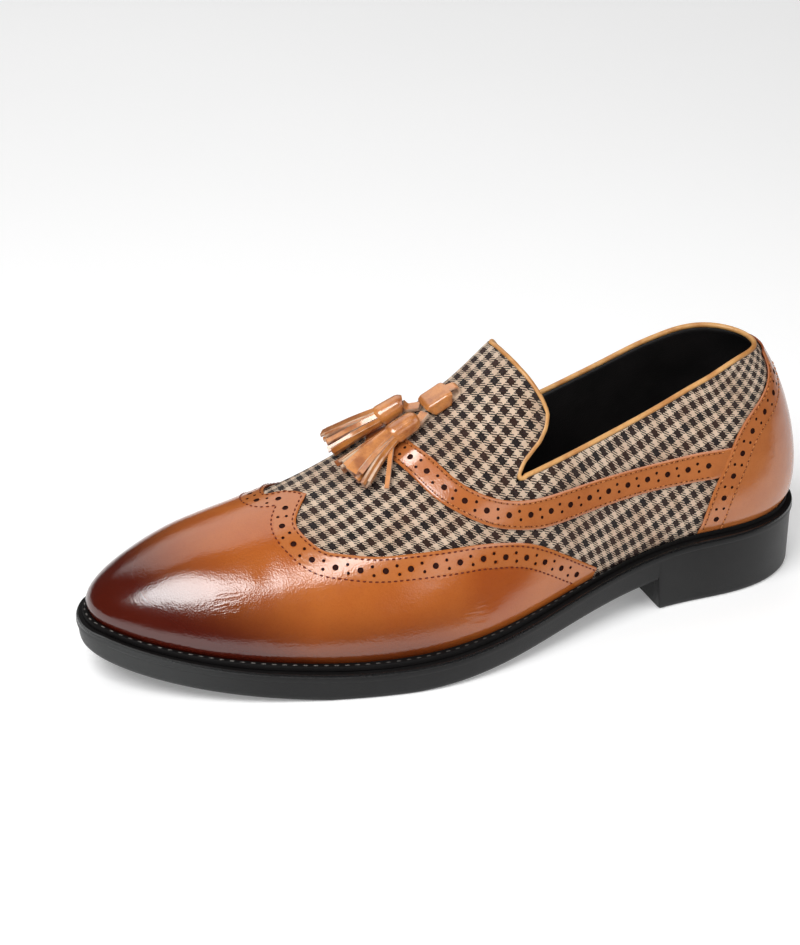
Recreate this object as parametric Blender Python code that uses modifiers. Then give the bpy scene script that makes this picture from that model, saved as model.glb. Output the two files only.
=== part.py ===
"""A left tassel loafer: moulded sole, welt, insole, hollow lasted upper, leather overlays and a pair of tassels.

Metres, Z up, the toe toward -Y, the outer side of the foot toward +X, standing on its sole at Z = 0.
"""

import bmesh
import bpy
import numpy as np
from collections import namedtuple
from math import pi

# Driving sizes
LENGTH = 0.300          # the sole from heel back to toe tip
BALL_WIDTH = 0.104      # the sole across the ball
INSTEP_HEIGHT = 0.112   # the instep ridge above the floor
HEEL_HEIGHT = 0.028     # the sole's top above the floor at the heel

# Thicknesses and clearances
WALL = 0.0020
CLEARANCE = 0.00035
OVERLAY_LIFT = 0.00045
OVERLAY = 0.0010
PIPING_RADIUS = 0.0013
PIPING_GAP = 0.00065
PIPING_TURN = 0.0018     # space between the piping's two runs where it turns back in a notch
INSOLE_THICKNESS = 0.0028
WELT_HEIGHT = 0.0019
WELT_LEDGE = 0.0026     # how far the sole's rim stands out beyond the welt
OVERLAY_FOOT = 0.0026   # lower edge of the overlays above the feather line

# Lasted shape: widths and sideways places are shares of BALL_WIDTH, ridge and swell_height of INSTEP_HEIGHT,
# rim of HEEL_HEIGHT and station of LENGTH, counted from the heel back of the sole
Section = namedtuple("Section", "station lateral medial ridge_x ridge rim extension swell swell_height")
SECTIONS = (
    Section(0.015, 0.288, 0.288, -0.029, 1.054, 1.008, 0.043, 0.031, 0.196),
    Section(0.117, 0.284, 0.298, -0.019, 1.070, 0.993, 0.043, 0.030, 0.199),
    Section(0.200, 0.279, 0.288, -0.019, 1.080, 0.972, 0.043, 0.025, 0.196),
    Section(0.300, 0.312, 0.250, -0.038, 1.082, 0.846, 0.046, 0.013, 0.184),
    Section(0.420, 0.404, 0.202, -0.077, 1.004, 0.626, 0.053, 0.005, 0.161),
    Section(0.480, 0.452, 0.226, -0.080, 0.871, 0.536, 0.059, 0.007, 0.148),
    Section(0.570, 0.488, 0.310, -0.072, 0.728, 0.442, 0.067, 0.011, 0.128),
    Section(0.633, 0.476, 0.365, -0.066, 0.634, 0.410, 0.067, 0.013, 0.117),
    Section(0.707, 0.433, 0.395, -0.056, 0.549, 0.418, 0.066, 0.015, 0.106),
    Section(0.780, 0.375, 0.389, -0.038, 0.500, 0.477, 0.065, 0.017, 0.101),
    Section(0.860, 0.310, 0.349, -0.027, 0.460, 0.586, 0.064, 0.020, 0.098),
    Section(0.917, 0.270, 0.314, -0.019, 0.439, 0.703, 0.063, 0.022, 0.098),
    Section(0.978, 0.231, 0.288, -0.019, 0.420, 0.867, 0.062, 0.024, 0.098),
)
HEEL_END = SECTIONS[0].station * LENGTH
TOE_END = SECTIONS[-1].station * LENGTH

# Round ends: how far each reaches along the shoe, and its superellipse power
End = namedtuple("End", "reach power")
HEEL_PLAN = End(0.160 * LENGTH, 2.30)
TOE_PLAN = End(0.200 * LENGTH, 2.20)
HEEL_RISE = End(0.207 * LENGTH, 2.35)
TOE_RISE = End(0.150 * LENGTH, 2.20)
SIDE_POWER = 2.15
TOP_POWER = 2.0
HEEL_PIVOT = 0.167 * LENGTH
TOE_PIVOT = 0.817 * LENGTH
SWELL_FADE = 0.033 * LENGTH
RING_FADE = 0.067 * LENGTH

# Underside of the sole: height as a share of HEEL_HEIGHT, the ball flat on the floor
Tread = namedtuple("Tread", "station height")
TREADS = (
    Tread(0.000, 0.500), Tread(0.255, 0.470), Tread(0.330, 0.370), Tread(0.450, 0.172),
    Tread(0.560, 0.040), Tread(0.615, 0.000), Tread(0.725, 0.000), Tread(0.800, 0.085),
    Tread(0.900, 0.255), Tread(1.000, 0.520),
)
BREAST = 0.244 * LENGTH
BREAST_SLOPE = 0.0012
BALL_FLAT = (0.615 * LENGTH, 0.725 * LENGTH)

# The sole's side from the tread up: how far in from the rim, and the height above the tread or below the top
Step = namedtuple("Step", "inset from_tread below_top")
SOLE_STEPS = (
    Step(0.0030, 0.0, None),
    Step(0.0018, 0.0009, None),
    Step(0.0011, None, 0.0036),
    Step(0.0003, None, 0.0029),
    Step(0.0000, None, 0.0009),
    Step(0.0009, None, 0.0),
)

# Collar: topline height as a share of INSTEP_HEIGHT at each column's foot, from heel back to notch
Top = namedtuple("Top", "station height")
TOPLINE = (
    Top(0.015, 0.843), Top(0.031, 0.847), Top(0.085, 0.850), Top(0.138, 0.832), Top(0.198, 0.787),
    Top(0.240, 0.748), Top(0.282, 0.715), Top(0.330, 0.684), Top(0.377, 0.658), Top(0.423, 0.634),
    Top(0.464, 0.611),
)
NOTCH = 0.464 * LENGTH

# Places on the lasted surface: turn is 0 at the feather line and 90 on the ridge
Edge = namedtuple("Edge", "station turn")
TAB_EDGE = (
    Edge(0.464, 37.8), Edge(0.456, 41.8), Edge(0.446, 43.6), Edge(0.430, 44.2), Edge(0.418, 45.0),
    Edge(0.4085, 48.0), Edge(0.4075, 50.5), Edge(0.412, 54.5), Edge(0.418, 60.0), Edge(0.430, 71.0),
    Edge(0.436, 80.0), Edge(0.440, 90.0),
)
TAB_BLEND = 0.120 * LENGTH

# Wing cap: each row joins a foot on the feather line to a place on the wing's edge
Wing = namedtuple("Wing", "foot station turn")
WING_LATERAL = (
    Wing(0.350, 0.345, 3.4), Wing(0.385, 0.377, 8.3), Wing(0.424, 0.417, 14.8), Wing(0.458, 0.452, 20.7),
    Wing(0.492, 0.487, 25.8), Wing(0.530, 0.523, 30.0), Wing(0.570, 0.559, 33.2), Wing(0.605, 0.589, 36.0),
    Wing(0.642, 0.619, 39.0), Wing(0.682, 0.649, 42.4), Wing(0.728, 0.679, 47.2), Wing(0.790, 0.708, 53.4),
    Wing(0.845, 0.721, 61.5), Wing(0.900, 0.725, 70.0), Wing(0.945, 0.714, 76.5), Wing(0.978, 0.697, 82.7),
)
WING_MEDIAL = WING_LATERAL[:9] + (
    Wing(0.682, 0.652, 43.0), Wing(0.728, 0.688, 50.5), Wing(0.790, 0.718, 62.0), Wing(0.845, 0.733, 73.0),
    Wing(0.900, 0.738, 84.0), Wing(0.945, 0.720, 88.5), Wing(0.978, 0.697, 82.7),
)

# Side band: upper and lower edge, from the ridge down and back to the counter
Band = namedtuple("Band", "top_station top_turn low_station low_turn")
BANDS = (
    Band(0.572, 90.0, 0.606, 90.0), Band(0.566, 77.0, 0.593, 75.0), Band(0.552, 66.0, 0.579, 62.5),
    Band(0.535, 54.5, 0.562, 51.0), Band(0.511, 45.0, 0.535, 41.2), Band(0.481, 37.4, 0.503, 33.0),
    Band(0.446, 31.4, 0.465, 26.2), Band(0.406, 27.6, 0.420, 20.8), Band(0.347, 25.3, 0.355, 18.2),
    Band(0.265, 24.0, 0.270, 17.0), Band(0.204, 23.9, 0.208, 16.3), Band(0.150, 24.6, 0.168, 16.4),
)

# Heel counter: height above the feather line, and the foot station of the column its front edge reaches
Counter = namedtuple("Counter", "height station")
COUNTERS = (
    Counter(0.0026, 0.186), Counter(0.0220, 0.168), Counter(0.0335, 0.149), Counter(0.0425, 0.130),
    Counter(0.0490, 0.102), Counter(0.0540, 0.068), Counter(0.0585, 0.043), Counter(0.0652, 0.030),
)

# Tassels: place on the shoe, half width, half height and depth of the strips' ridges, from strap to fringe ends
Tassel = namedtuple("Tassel", "station side width height ridge")
TASSEL_LATERAL = (
    Tassel(0.5340, 0.023, 0.0019, 0.0009, 0.0), Tassel(0.5475, 0.042, 0.0019, 0.0009, 0.0),
    Tassel(0.5495, 0.045, 0.0036, 0.0034, 0.0), Tassel(0.5525, 0.048, 0.0041, 0.0039, 0.0),
    Tassel(0.5760, 0.053, 0.0044, 0.0042, 0.0), Tassel(0.5785, 0.054, 0.0042, 0.0040, 0.0),
    Tassel(0.5810, 0.055, 0.0044, 0.0041, 0.0006), Tassel(0.6080, 0.070, 0.0064, 0.0044, 0.0010),
    Tassel(0.6400, 0.089, 0.0088, 0.0040, 0.0014),
)
TASSEL_MEDIAL = (
    Tassel(0.5340, -0.023, 0.0019, 0.0009, 0.0), Tassel(0.5475, -0.058, 0.0019, 0.0009, 0.0),
    Tassel(0.5495, -0.063, 0.0036, 0.0034, 0.0), Tassel(0.5525, -0.066, 0.0041, 0.0039, 0.0),
    Tassel(0.5760, -0.068, 0.0044, 0.0042, 0.0), Tassel(0.5785, -0.069, 0.0042, 0.0040, 0.0),
    Tassel(0.5810, -0.070, 0.0044, 0.0041, 0.0006), Tassel(0.6080, -0.090, 0.0064, 0.0044, 0.0010),
    Tassel(0.6400, -0.115, 0.0086, 0.0042, 0.0014),
)
TASSEL_STRIPS = 11
STRIP_STAGGER = 0.0012

# Keeper of the tassels: a sleeve over the crossed strap with the strap's loop behind it
Keeper = namedtuple("Keeper", "station side width height")
KEEPERS = (
    Keeper(0.4890, 0.006, 0.0020, 0.0010), Keeper(0.4925, 0.006, 0.0034, 0.0012),
    Keeper(0.4985, 0.005, 0.0034, 0.0014), Keeper(0.5005, 0.005, 0.0044, 0.0026),
    Keeper(0.5025, 0.005, 0.0049, 0.0030), Keeper(0.5265, 0.000, 0.0049, 0.0030),
    Keeper(0.5290, 0.000, 0.0044, 0.0026),
)

# Grid counts
BACK_COLUMNS = 20
FRONT_COLUMNS = 24
LOW_ROWS = 8
TAB_ROWS = 7
WING_COLUMNS = 30
WING_ROWS = 11
EDGE_SHARE = 0.5         # how much the wing's edge, beside its foot, spaces its columns
BAND_COLUMNS = 22
BAND_ROWS = 2
COUNTER_COLUMNS = 9
COUNTER_ROWS = 13
SOLE_COLUMNS = 44
WELT_COLUMNS = 38
PIPING_SPACING = 0.0058


def spline(xs, ys):
    """A natural cubic curve through (xs, ys), held level beyond its ends."""
    xs = np.asarray(xs, float)
    ys = np.asarray(ys, float)
    gap = np.diff(xs)
    count = len(xs)
    matrix = np.eye(count)
    bend = np.zeros(count)
    for i in range(1, count - 1):
        matrix[i, i - 1:i + 2] = gap[i - 1], 2 * (gap[i - 1] + gap[i]), gap[i]
        bend[i] = 6 * ((ys[i + 1] - ys[i]) / gap[i] - (ys[i] - ys[i - 1]) / gap[i - 1])
    curve = np.linalg.solve(matrix, bend)

    def value(x):
        x = np.clip(np.asarray(x, float), xs[0], xs[-1])
        i = np.clip(np.searchsorted(xs, x) - 1, 0, count - 2)
        d = xs[i + 1] - xs[i]
        t = (x - xs[i]) / d
        u = 1 - t
        flat = u * ys[i] + t * ys[i + 1]
        return flat + d * d / 6 * ((u**3 - u) * curve[i] + (t**3 - t) * curve[i + 1])

    return value


def column(rows, name, scale=1.0):
    """One named column of a table as an array."""
    return np.array([getattr(row, name) for row in rows], float) * scale


def section_curve(name, scale):
    return spline(column(SECTIONS, "station", LENGTH), column(SECTIONS, name, scale))


lateral = section_curve("lateral", BALL_WIDTH)
medial = section_curve("medial", BALL_WIDTH)
ridge_x = section_curve("ridge_x", BALL_WIDTH)
ridge = section_curve("ridge", INSTEP_HEIGHT)
rim = section_curve("rim", HEEL_HEIGHT)
extension = section_curve("extension", BALL_WIDTH)
swell = section_curve("swell", BALL_WIDTH)
swell_height = section_curve("swell_height", INSTEP_HEIGHT)
topline = spline(column(TOPLINE, "station", LENGTH), column(TOPLINE, "height", INSTEP_HEIGHT))
tread_curve = spline(column(TREADS, "station", LENGTH), column(TREADS, "height", HEEL_HEIGHT))


def foot(a):
    """Height of the feather line, where the upper stands on the sole."""
    return rim(a) + CLEARANCE


def ends(a, heel, toe):
    u = np.clip(1 - (a - HEEL_END) / heel.reach, 0, 1)
    v = np.clip(1 - (TOE_END - a) / toe.reach, 0, 1)
    return (1 - u**heel.power) ** (1 / heel.power) * (1 - v**toe.power) ** (1 / toe.power)


def half(a, side):
    """Distance from the ridge line out to the feather line on one side."""
    wide = np.where(side > 0, lateral(a) - ridge_x(a), medial(a) + ridge_x(a))
    return np.maximum(wide * ends(a, HEEL_PLAN, TOE_PLAN), 1e-7)


def rise(a):
    return np.maximum((ridge(a) - foot(a)) * ends(a, HEEL_RISE, TOE_RISE), 1e-7)


def level(x, a, z, side):
    """1 on the lasted form, less inside it."""
    across = np.abs(x - ridge_x(a)) / half(a, side)
    up = np.maximum(z - foot(a), 0) / rise(a)
    return across**SIDE_POWER + up**TOP_POWER


def outward(x, a):
    """Unit normal of the lasted form, in (x, y, z)."""
    side = np.where(x >= ridge_x(a), 1.0, -1.0)
    across = np.clip(np.abs(x - ridge_x(a)) / half(a, side), 0, 1)
    a = np.clip(a, HEEL_END + 0.0003, TOE_END - 0.0003)
    x = ridge_x(a) + side * across * half(a, side)
    z = foot(a) + rise(a) * (1 - across**SIDE_POWER) ** (1 / TOP_POWER)
    d = 2e-5
    normal = np.stack([
        level(x + d, a, z, side) - level(x - d, a, z, side),
        level(x, a - d, z, side) - level(x, a + d, z, side),
        level(x, a, z + d, side) - level(x, a, z - d, side),
    ], -1)
    return normal / np.linalg.norm(normal, axis=-1, keepdims=True)


def surface(x, a, lift=0.0):
    """Points of the lasted form above plan places (x, station), lifted along the normal."""
    x = np.asarray(x, float)
    a = np.asarray(a, float)
    side = np.where(x >= ridge_x(a), 1.0, -1.0)
    across = np.clip(np.abs(x - ridge_x(a)) / half(a, side), 0, 1)
    up = rise(a) * (1 - across**SIDE_POWER) ** (1 / TOP_POWER)
    pivot = np.clip(a, HEEL_PIVOT, TOE_PIVOT)
    dx = x - ridge_x(pivot)
    da = a - pivot
    far = np.maximum(np.hypot(dx, da), 1e-9)
    tall = up / swell_height(a)
    out = swell(a) * tall * np.exp(1 - tall) * (1 - np.exp(-((far / SWELL_FADE) ** 2)))
    points = np.stack([x + dx / far * out, LENGTH / 2 - a - da / far * out, foot(a) + up], -1)
    return points + outward(x, a) * lift


def turned(a, turn, side):
    """Plan place at a station and a turn, which is 0 at the feather line and 90 on the ridge."""
    cosine = np.clip(np.cos(np.radians(turn)), 0, 1)
    return ridge_x(a) + side * half(a, side) * cosine ** (2 / SIDE_POWER)


def feather(a, side):
    return ridge_x(a) + side * half(a, side)


def walk(x, a, shares, low=None, top=None, lift=0.0):
    """Points at even shares of the way along a plan path, cut at a height over the feather and at a level."""
    points = surface(x, a)
    run = np.concatenate([[0], np.cumsum(np.linalg.norm(np.diff(points, axis=0), axis=1))])
    first = 0.0 if low is None else np.interp(low, points[:, 2] - foot(a), run)
    last = run[-1] if top is None else np.interp(top, points[:, 2], run)
    at = first + (last - first) * np.asarray(shares)
    return surface(np.interp(at, run, x), np.interp(at, run, a), lift)


def straight(start, end):
    """A dense plan path between two plan places, closer together at its start."""
    t = np.linspace(0, 1, 161) ** 2
    return start[0] + (end[0] - start[0]) * t, start[1] + (end[1] - start[1]) * t


def column_path(a, side):
    """The plan path from a foot on the feather line to the spine: square across, and fanned at both ends."""
    target = np.clip(a, HEEL_PIVOT, TOE_PIVOT)
    return straight((feather(a, side), a), (ridge_x(target), target))


def feather_run(side):
    """Stations along the feather line and the distance from the heel back to each."""
    a = HEEL_END + (TOE_END - HEEL_END) * (1 - np.cos(np.linspace(0, pi, 1201))) / 2
    step = np.hypot(np.diff(feather(a, side)), np.diff(a))
    return a, np.concatenate([[0], np.cumsum(step)])


def even_stations(start, end, count):
    """Stations from start to end, evenly spaced along the lateral feather line."""
    a, run = feather_run(1.0)
    return np.interp(np.linspace(np.interp(start, a, run), np.interp(end, a, run), count), run, a)


COLLECTION = bpy.data.collections.new("tassel_loafer")


def add_material(name, colour, roughness):
    material = bpy.data.materials.new(name)
    material.use_nodes = True
    shader = material.node_tree.nodes["Principled BSDF"]
    shader.inputs["Base Color"].default_value = (*colour, 1)
    shader.inputs["Roughness"].default_value = roughness
    return material


def add_mesh(name, points, faces, material, merge=1e-5):
    """An object from points and faces, with points that coincide joined."""
    mesh = bpy.data.meshes.new(name)
    form = bmesh.new()
    verts = [form.verts.new(point) for point in points]
    for face in faces:
        form.faces.new([verts[i] for i in face])
    bmesh.ops.remove_doubles(form, verts=form.verts, dist=merge)
    bmesh.ops.dissolve_degenerate(form, edges=form.edges, dist=1e-6)
    if all(edge.is_manifold for edge in form.edges):
        bmesh.ops.recalc_face_normals(form, faces=form.faces)
    form.to_mesh(mesh)
    form.free()
    mesh.materials.append(material)
    mesh.polygons.foreach_set("use_smooth", [True] * len(mesh.polygons))
    thing = bpy.data.objects.new(name, mesh)
    COLLECTION.objects.link(thing)
    return thing


def sheet(name, grids, material, thickness, inward):
    """An open surface of point grids (columns, rows, 3), made solid with a wall on one side."""
    points = []
    faces = []
    for grid in grids:
        columns, rows = grid.shape[:2]
        start = len(points)
        points.extend(grid.reshape(-1, 3).tolist())
        for i in range(columns - 1):
            for j in range(rows - 1):
                k = start + i * rows + j
                faces.append((k, k + 1, k + rows + 1, k + rows))
    thing = add_mesh(name, points, faces, material)
    wall = thing.modifiers.new("wall", "SOLIDIFY")
    wall.thickness = thickness
    wall.offset = -1.0 if inward else 1.0
    wall.use_even_offset = True
    return thing


def outline(inset, grow):
    """Plan lines round the sole, inset from its rim: the lateral and the medial side, from heel back to toe tip."""
    sides = []
    for side in (1.0, -1.0):
        a, _ = feather_run(side)
        x = feather(a, side)
        tx = np.gradient(x)
        ta = np.gradient(a)
        tx[0], ta[0] = side, 0.0
        tx[-1], ta[-1] = -side, 0.0
        size = np.hypot(tx, ta)
        far = extension(a) * grow - inset
        sides.append((x + side * ta / size * far, a - side * tx / size * far))
    return sides


def sole_stations(count):
    """Stations even along the rim, with two at the heel breast and exact ends of the ball's flat."""
    even = even_stations(HEEL_END, TOE_END, count)
    even = (even - HEEL_END) / (TOE_END - HEEL_END) * LENGTH
    keep = [s for s in even if abs(s - BREAST) > 0.003 and min(abs(s - b) for b in BALL_FLAT) > 0.002]
    return np.array(sorted(keep + [BREAST - BREAST_SLOPE / 2, BREAST + BREAST_SLOPE / 2, *BALL_FLAT]))


def tread(a):
    """Height of the sole's underside: the heel and the ball stand on the floor."""
    low = np.maximum(tread_curve(a), 0.0)
    low = np.where((a >= BALL_FLAT[0] - 1e-6) & (a <= BALL_FLAT[1] + 1e-6), 0.0, low)
    return np.where(a < BREAST, 0.0, low)


def ladder_solid(name, rings, material):
    """A solid from rings of (lateral, medial) rows: capped below and above by rungs, walls between rings."""
    points = []
    faces = []
    count = len(rings[0][0])
    for rows in rings:
        points.extend(rows[0].tolist())
        points.extend(rows[1].tolist())
    size = 2 * count
    loop = list(range(count)) + list(range(2 * count - 2, count, -1))
    for k in range(len(rings) - 1):
        for i, j in zip(loop, loop[1:] + loop[:1]):
            faces.append((k * size + j, k * size + i, (k + 1) * size + i, (k + 1) * size + j))
    for k, flip in ((0, False), (len(rings) - 1, True)):
        for i in range(count - 1):
            quad = [k * size + i, k * size + i + 1, k * size + count + i + 1, k * size + count + i]
            if i == 0:
                quad = [k * size, k * size + 1, k * size + count + 1]
            if i == count - 2:
                quad = [k * size + i, k * size + i + 1, k * size + count + i]
            faces.append(quad[::-1] if flip else quad)
    used = sorted({i for face in faces for i in face})
    place = {old: new for new, old in enumerate(used)}
    return add_mesh(name, [points[i] for i in used], [[place[i] for i in face] for face in faces], material, 1e-6)


def plan_ring(stations, inset, height, grow=1.0):
    """One ring of the sole: lateral and medial rows of points at given stations, drawn in at its two ends."""
    sides = outline(inset, grow)
    heel = sides[0][1][0]
    toe = sides[0][1][-1]
    at = (stations + heel * np.exp(-stations / RING_FADE)
          - (LENGTH - toe) * np.exp((stations - LENGTH) / RING_FADE))
    rows = []
    for x, a in sides:
        order = np.argsort(a, kind="stable")
        across = np.interp(at, a[order], x[order])
        rows.append(np.stack([across, LENGTH / 2 - at, height(stations, at)], -1))
    middle = [(rows[0][i, 0] + rows[1][i, 0]) / 2 for i in (0, -1)]
    for row in rows:
        row[0, 0], row[-1, 0] = middle
    return rows


def build_outsole(material):
    stations = sole_stations(SOLE_COLUMNS)
    rings = []
    for step in SOLE_STEPS:
        if step.below_top is None:
            rings.append(plan_ring(stations, step.inset, lambda s, at, up=step.from_tread: tread(s) + up))
        else:
            rings.append(plan_ring(stations, step.inset, lambda s, at, down=step.below_top: rim(at) - down))
    return ladder_solid("outsole", rings, material)


def build_insole(material):
    stations = sole_stations(30)
    far = WALL + 0.0012
    rings = []
    for up in (CLEARANCE, INSOLE_THICKNESS):
        rings.append(plan_ring(stations, far, lambda s, at, up=up: rim(at) + up, 0.0))
    return ladder_solid("insole", rings, material)


def build_welt(material):
    """A strip on the sole's ledge, close round the foot of the upper."""
    loops = []
    low = CLEARANCE
    high = CLEARANCE + WELT_HEIGHT
    for inner, up in ((True, low), (True, high), (False, high - 0.0004), (False, low)):
        path = []
        for side in (1.0, -1.0):
            a = even_stations(HEEL_END, TOE_END, WELT_COLUMNS)
            x = feather(a, side)
            tall = high / swell_height(a)
            bulge = swell(a) * tall * np.exp(1 - tall)
            far = bulge + 2 * CLEARANCE if inner else extension(a) - WELT_LEDGE
            normal = outward(x, a)
            normal = normal[:, :2] / np.linalg.norm(normal[:, :2], axis=1)[:, None]
            spot = np.column_stack([x + normal[:, 0] * far, LENGTH / 2 - a + normal[:, 1] * far])
            height = rim(LENGTH / 2 - spot[:, 1]) + up
            row = np.column_stack([spot, height])
            path.append(row if side > 0 else row[::-1])
        loops.append(np.vstack([path[0], path[1][1:-1]]))
    count = len(loops[0])
    points = np.vstack(loops)
    faces = []
    for k in range(4):
        for i in range(count):
            j = (i + 1) % count
            m = (k + 1) % 4
            faces.append((k * count + i, k * count + j, m * count + j, m * count + i))
    return add_mesh("welt", points.tolist(), faces, material)


def tab_path(a, side):
    """A column's plan path in front of the notch, leaning back with the tab's edge above it."""
    turn = np.concatenate([np.linspace(0, TAB_EDGE[0].turn, 80), np.linspace(TAB_EDGE[0].turn, 90, 161)[1:]])
    lean = NOTCH - np.interp(turn, column(TAB_EDGE, "turn"), column(TAB_EDGE, "station", LENGTH))
    blend = np.clip(1 - (a - NOTCH) / TAB_BLEND, 0, 1) ** 1.5
    along = a - lean * blend
    return turned(along, turn, side), along, 79


def front_column(a, side):
    """Points of one column of the front: rows to the notch's level, then rows to the ridge."""
    if a > TOE_PIVOT:
        x, along = column_path(a, side)
        return walk(x, along, np.linspace(0, 1, LOW_ROWS + TAB_ROWS + 1))
    x, along, notch = tab_path(a, side)
    low = walk(x[:notch + 1], along[:notch + 1], np.linspace(0, 1, LOW_ROWS + 1))
    high = walk(x[notch:], along[notch:], np.linspace(0, 1, TAB_ROWS + 1))
    return np.vstack([low, high[1:]])


def back_column(a, side):
    """Points of one column of the quarters, from the feather line to the topline."""
    if a >= NOTCH - 1e-6:
        return front_column(a, side)[:LOW_ROWS + 1]
    x, along = column_path(a, side)
    return walk(x, along, np.linspace(0, 1, LOW_ROWS + 1), top=topline(a))


def build_upper(material):
    back = even_stations(HEEL_END, NOTCH, BACK_COLUMNS)
    front = even_stations(NOTCH, TOE_END, FRONT_COLUMNS)
    back[-1] = front[0] = NOTCH
    order = [(a, -1.0) for a in back[::-1]] + [(a, 1.0) for a in back[1:]]
    quarters = np.array([back_column(a, side) for a, side in order])
    order = [(a, 1.0) for a in front] + [(a, -1.0) for a in front[::-1][1:]]
    vamp = np.array([front_column(a, side) for a, side in order])
    return sheet("upper", [quarters, vamp], material, WALL, True)


def wing_side(rows, side):
    """Rungs of the wing cap on one side, from its end at the sole to the shoe's middle."""
    a, run = feather_run(side)
    feet = np.interp(column(rows, "foot", LENGTH), a, run)
    places = np.column_stack([column(rows, "station", LENGTH), column(rows, "turn")])
    x = turned(places[:, 0], places[:, 1], side)
    if side < 0:
        x[-1] = turned(places[-1, 0], places[-1, 1], 1.0)
    edge = surface(x, places[:, 0])
    close = np.where(column(rows, "foot")[1:] > 0.75, 1.6, 1.0)
    step = EDGE_SHARE * np.linalg.norm(np.diff(edge, axis=0), axis=1) + close * np.abs(np.diff(feet))
    along = np.concatenate([[0], np.cumsum(step)])
    at = np.linspace(0, along[-1], WING_COLUMNS)
    feet = np.interp(spline(along, feet)(at), run, a)
    stations = spline(along, places[:, 0])(at)
    heights = spline(along[:-4], places[:-4, 1])(at)
    sideways = spline(along[-7:], x[-7:])(at)
    x = np.where(at < along[-6], turned(stations, heights, side), sideways)
    shares = np.linspace(0, 1, WING_ROWS) ** 1.3
    rungs = []
    for foot_a, edge_x, edge_a in zip(feet, x, stations):
        path = straight((feather(foot_a, side), foot_a), (edge_x, edge_a))
        rungs.append(walk(*path, shares, low=OVERLAY_FOOT, lift=OVERLAY_LIFT))
    return np.array(rungs)


def build_wing(material):
    outer = wing_side(WING_LATERAL, 1.0)
    inner = wing_side(WING_MEDIAL, -1.0)
    middle = (outer[-1] + inner[-1]) / 2
    grid = np.concatenate([outer[:-1], middle[None], inner[::-1][1:]])
    return sheet("wing_cap", [grid], material, OVERLAY, False)


def build_band(material):
    rungs = []
    at = np.linspace(0, 1, len(BANDS))
    fine = np.linspace(0, 1, BAND_COLUMNS)
    curves = [spline(at, column(BANDS, name))(fine) for name in Band._fields]
    for side in (1.0, -1.0):
        rows = []
        for top_a, top_turn, low_a, low_turn in zip(*curves):
            share = np.linspace(0, 1, 41)
            a = (low_a + (top_a - low_a) * share) * LENGTH
            x = turned(a, low_turn + (top_turn - low_turn) * share, side)
            rows.append(walk(x, a, np.linspace(0, 1, BAND_ROWS + 1), lift=OVERLAY_LIFT))
        rungs.append(np.array(rows))
    grid = np.concatenate([rungs[0][::-1], rungs[1][1:]])
    return sheet("side_band", [grid], material, OVERLAY, False)


def build_counter(material):
    heights = np.linspace(COUNTERS[0].height, COUNTERS[-1].height, COUNTER_ROWS)
    reach = spline(column(COUNTERS, "height"), column(COUNTERS, "station", LENGTH))(heights)
    shares = np.linspace(-1, 1, 2 * COUNTER_COLUMNS - 1)
    grid = np.empty((len(shares), COUNTER_ROWS, 3))
    for i, share in enumerate(shares):
        side = -1.0 if share < 0 else 1.0
        a, run = feather_run(side)
        for j, height in enumerate(heights):
            foot_a = np.interp(abs(share) * np.interp(reach[j], a, run), run, a)
            path = column_path(foot_a, side)
            grid[i, j] = walk(*path, [0.0], low=height, lift=OVERLAY_LIFT)[0]
    return sheet("heel_counter", [grid], material, OVERLAY, False)


def resample(points, spacing):
    """The same open path with points evenly spaced."""
    run = np.concatenate([[0], np.cumsum(np.linalg.norm(np.diff(points, axis=0), axis=1))])
    at = np.linspace(0, run[-1], max(2, int(round(run[-1] / spacing)) + 1))
    return np.column_stack([np.interp(at, run, values) for values in points.T])


def edge_offset(points, normals, flip):
    """The piping's middle line: off the open edge by its radius, and in to the middle of the wall."""
    along = np.gradient(points, axis=0)
    out = np.cross(along, normals) * flip
    out = out / np.linalg.norm(out, axis=1)[:, None]
    return points + out * (PIPING_RADIUS + PIPING_GAP) - normals * WALL / 2


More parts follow.
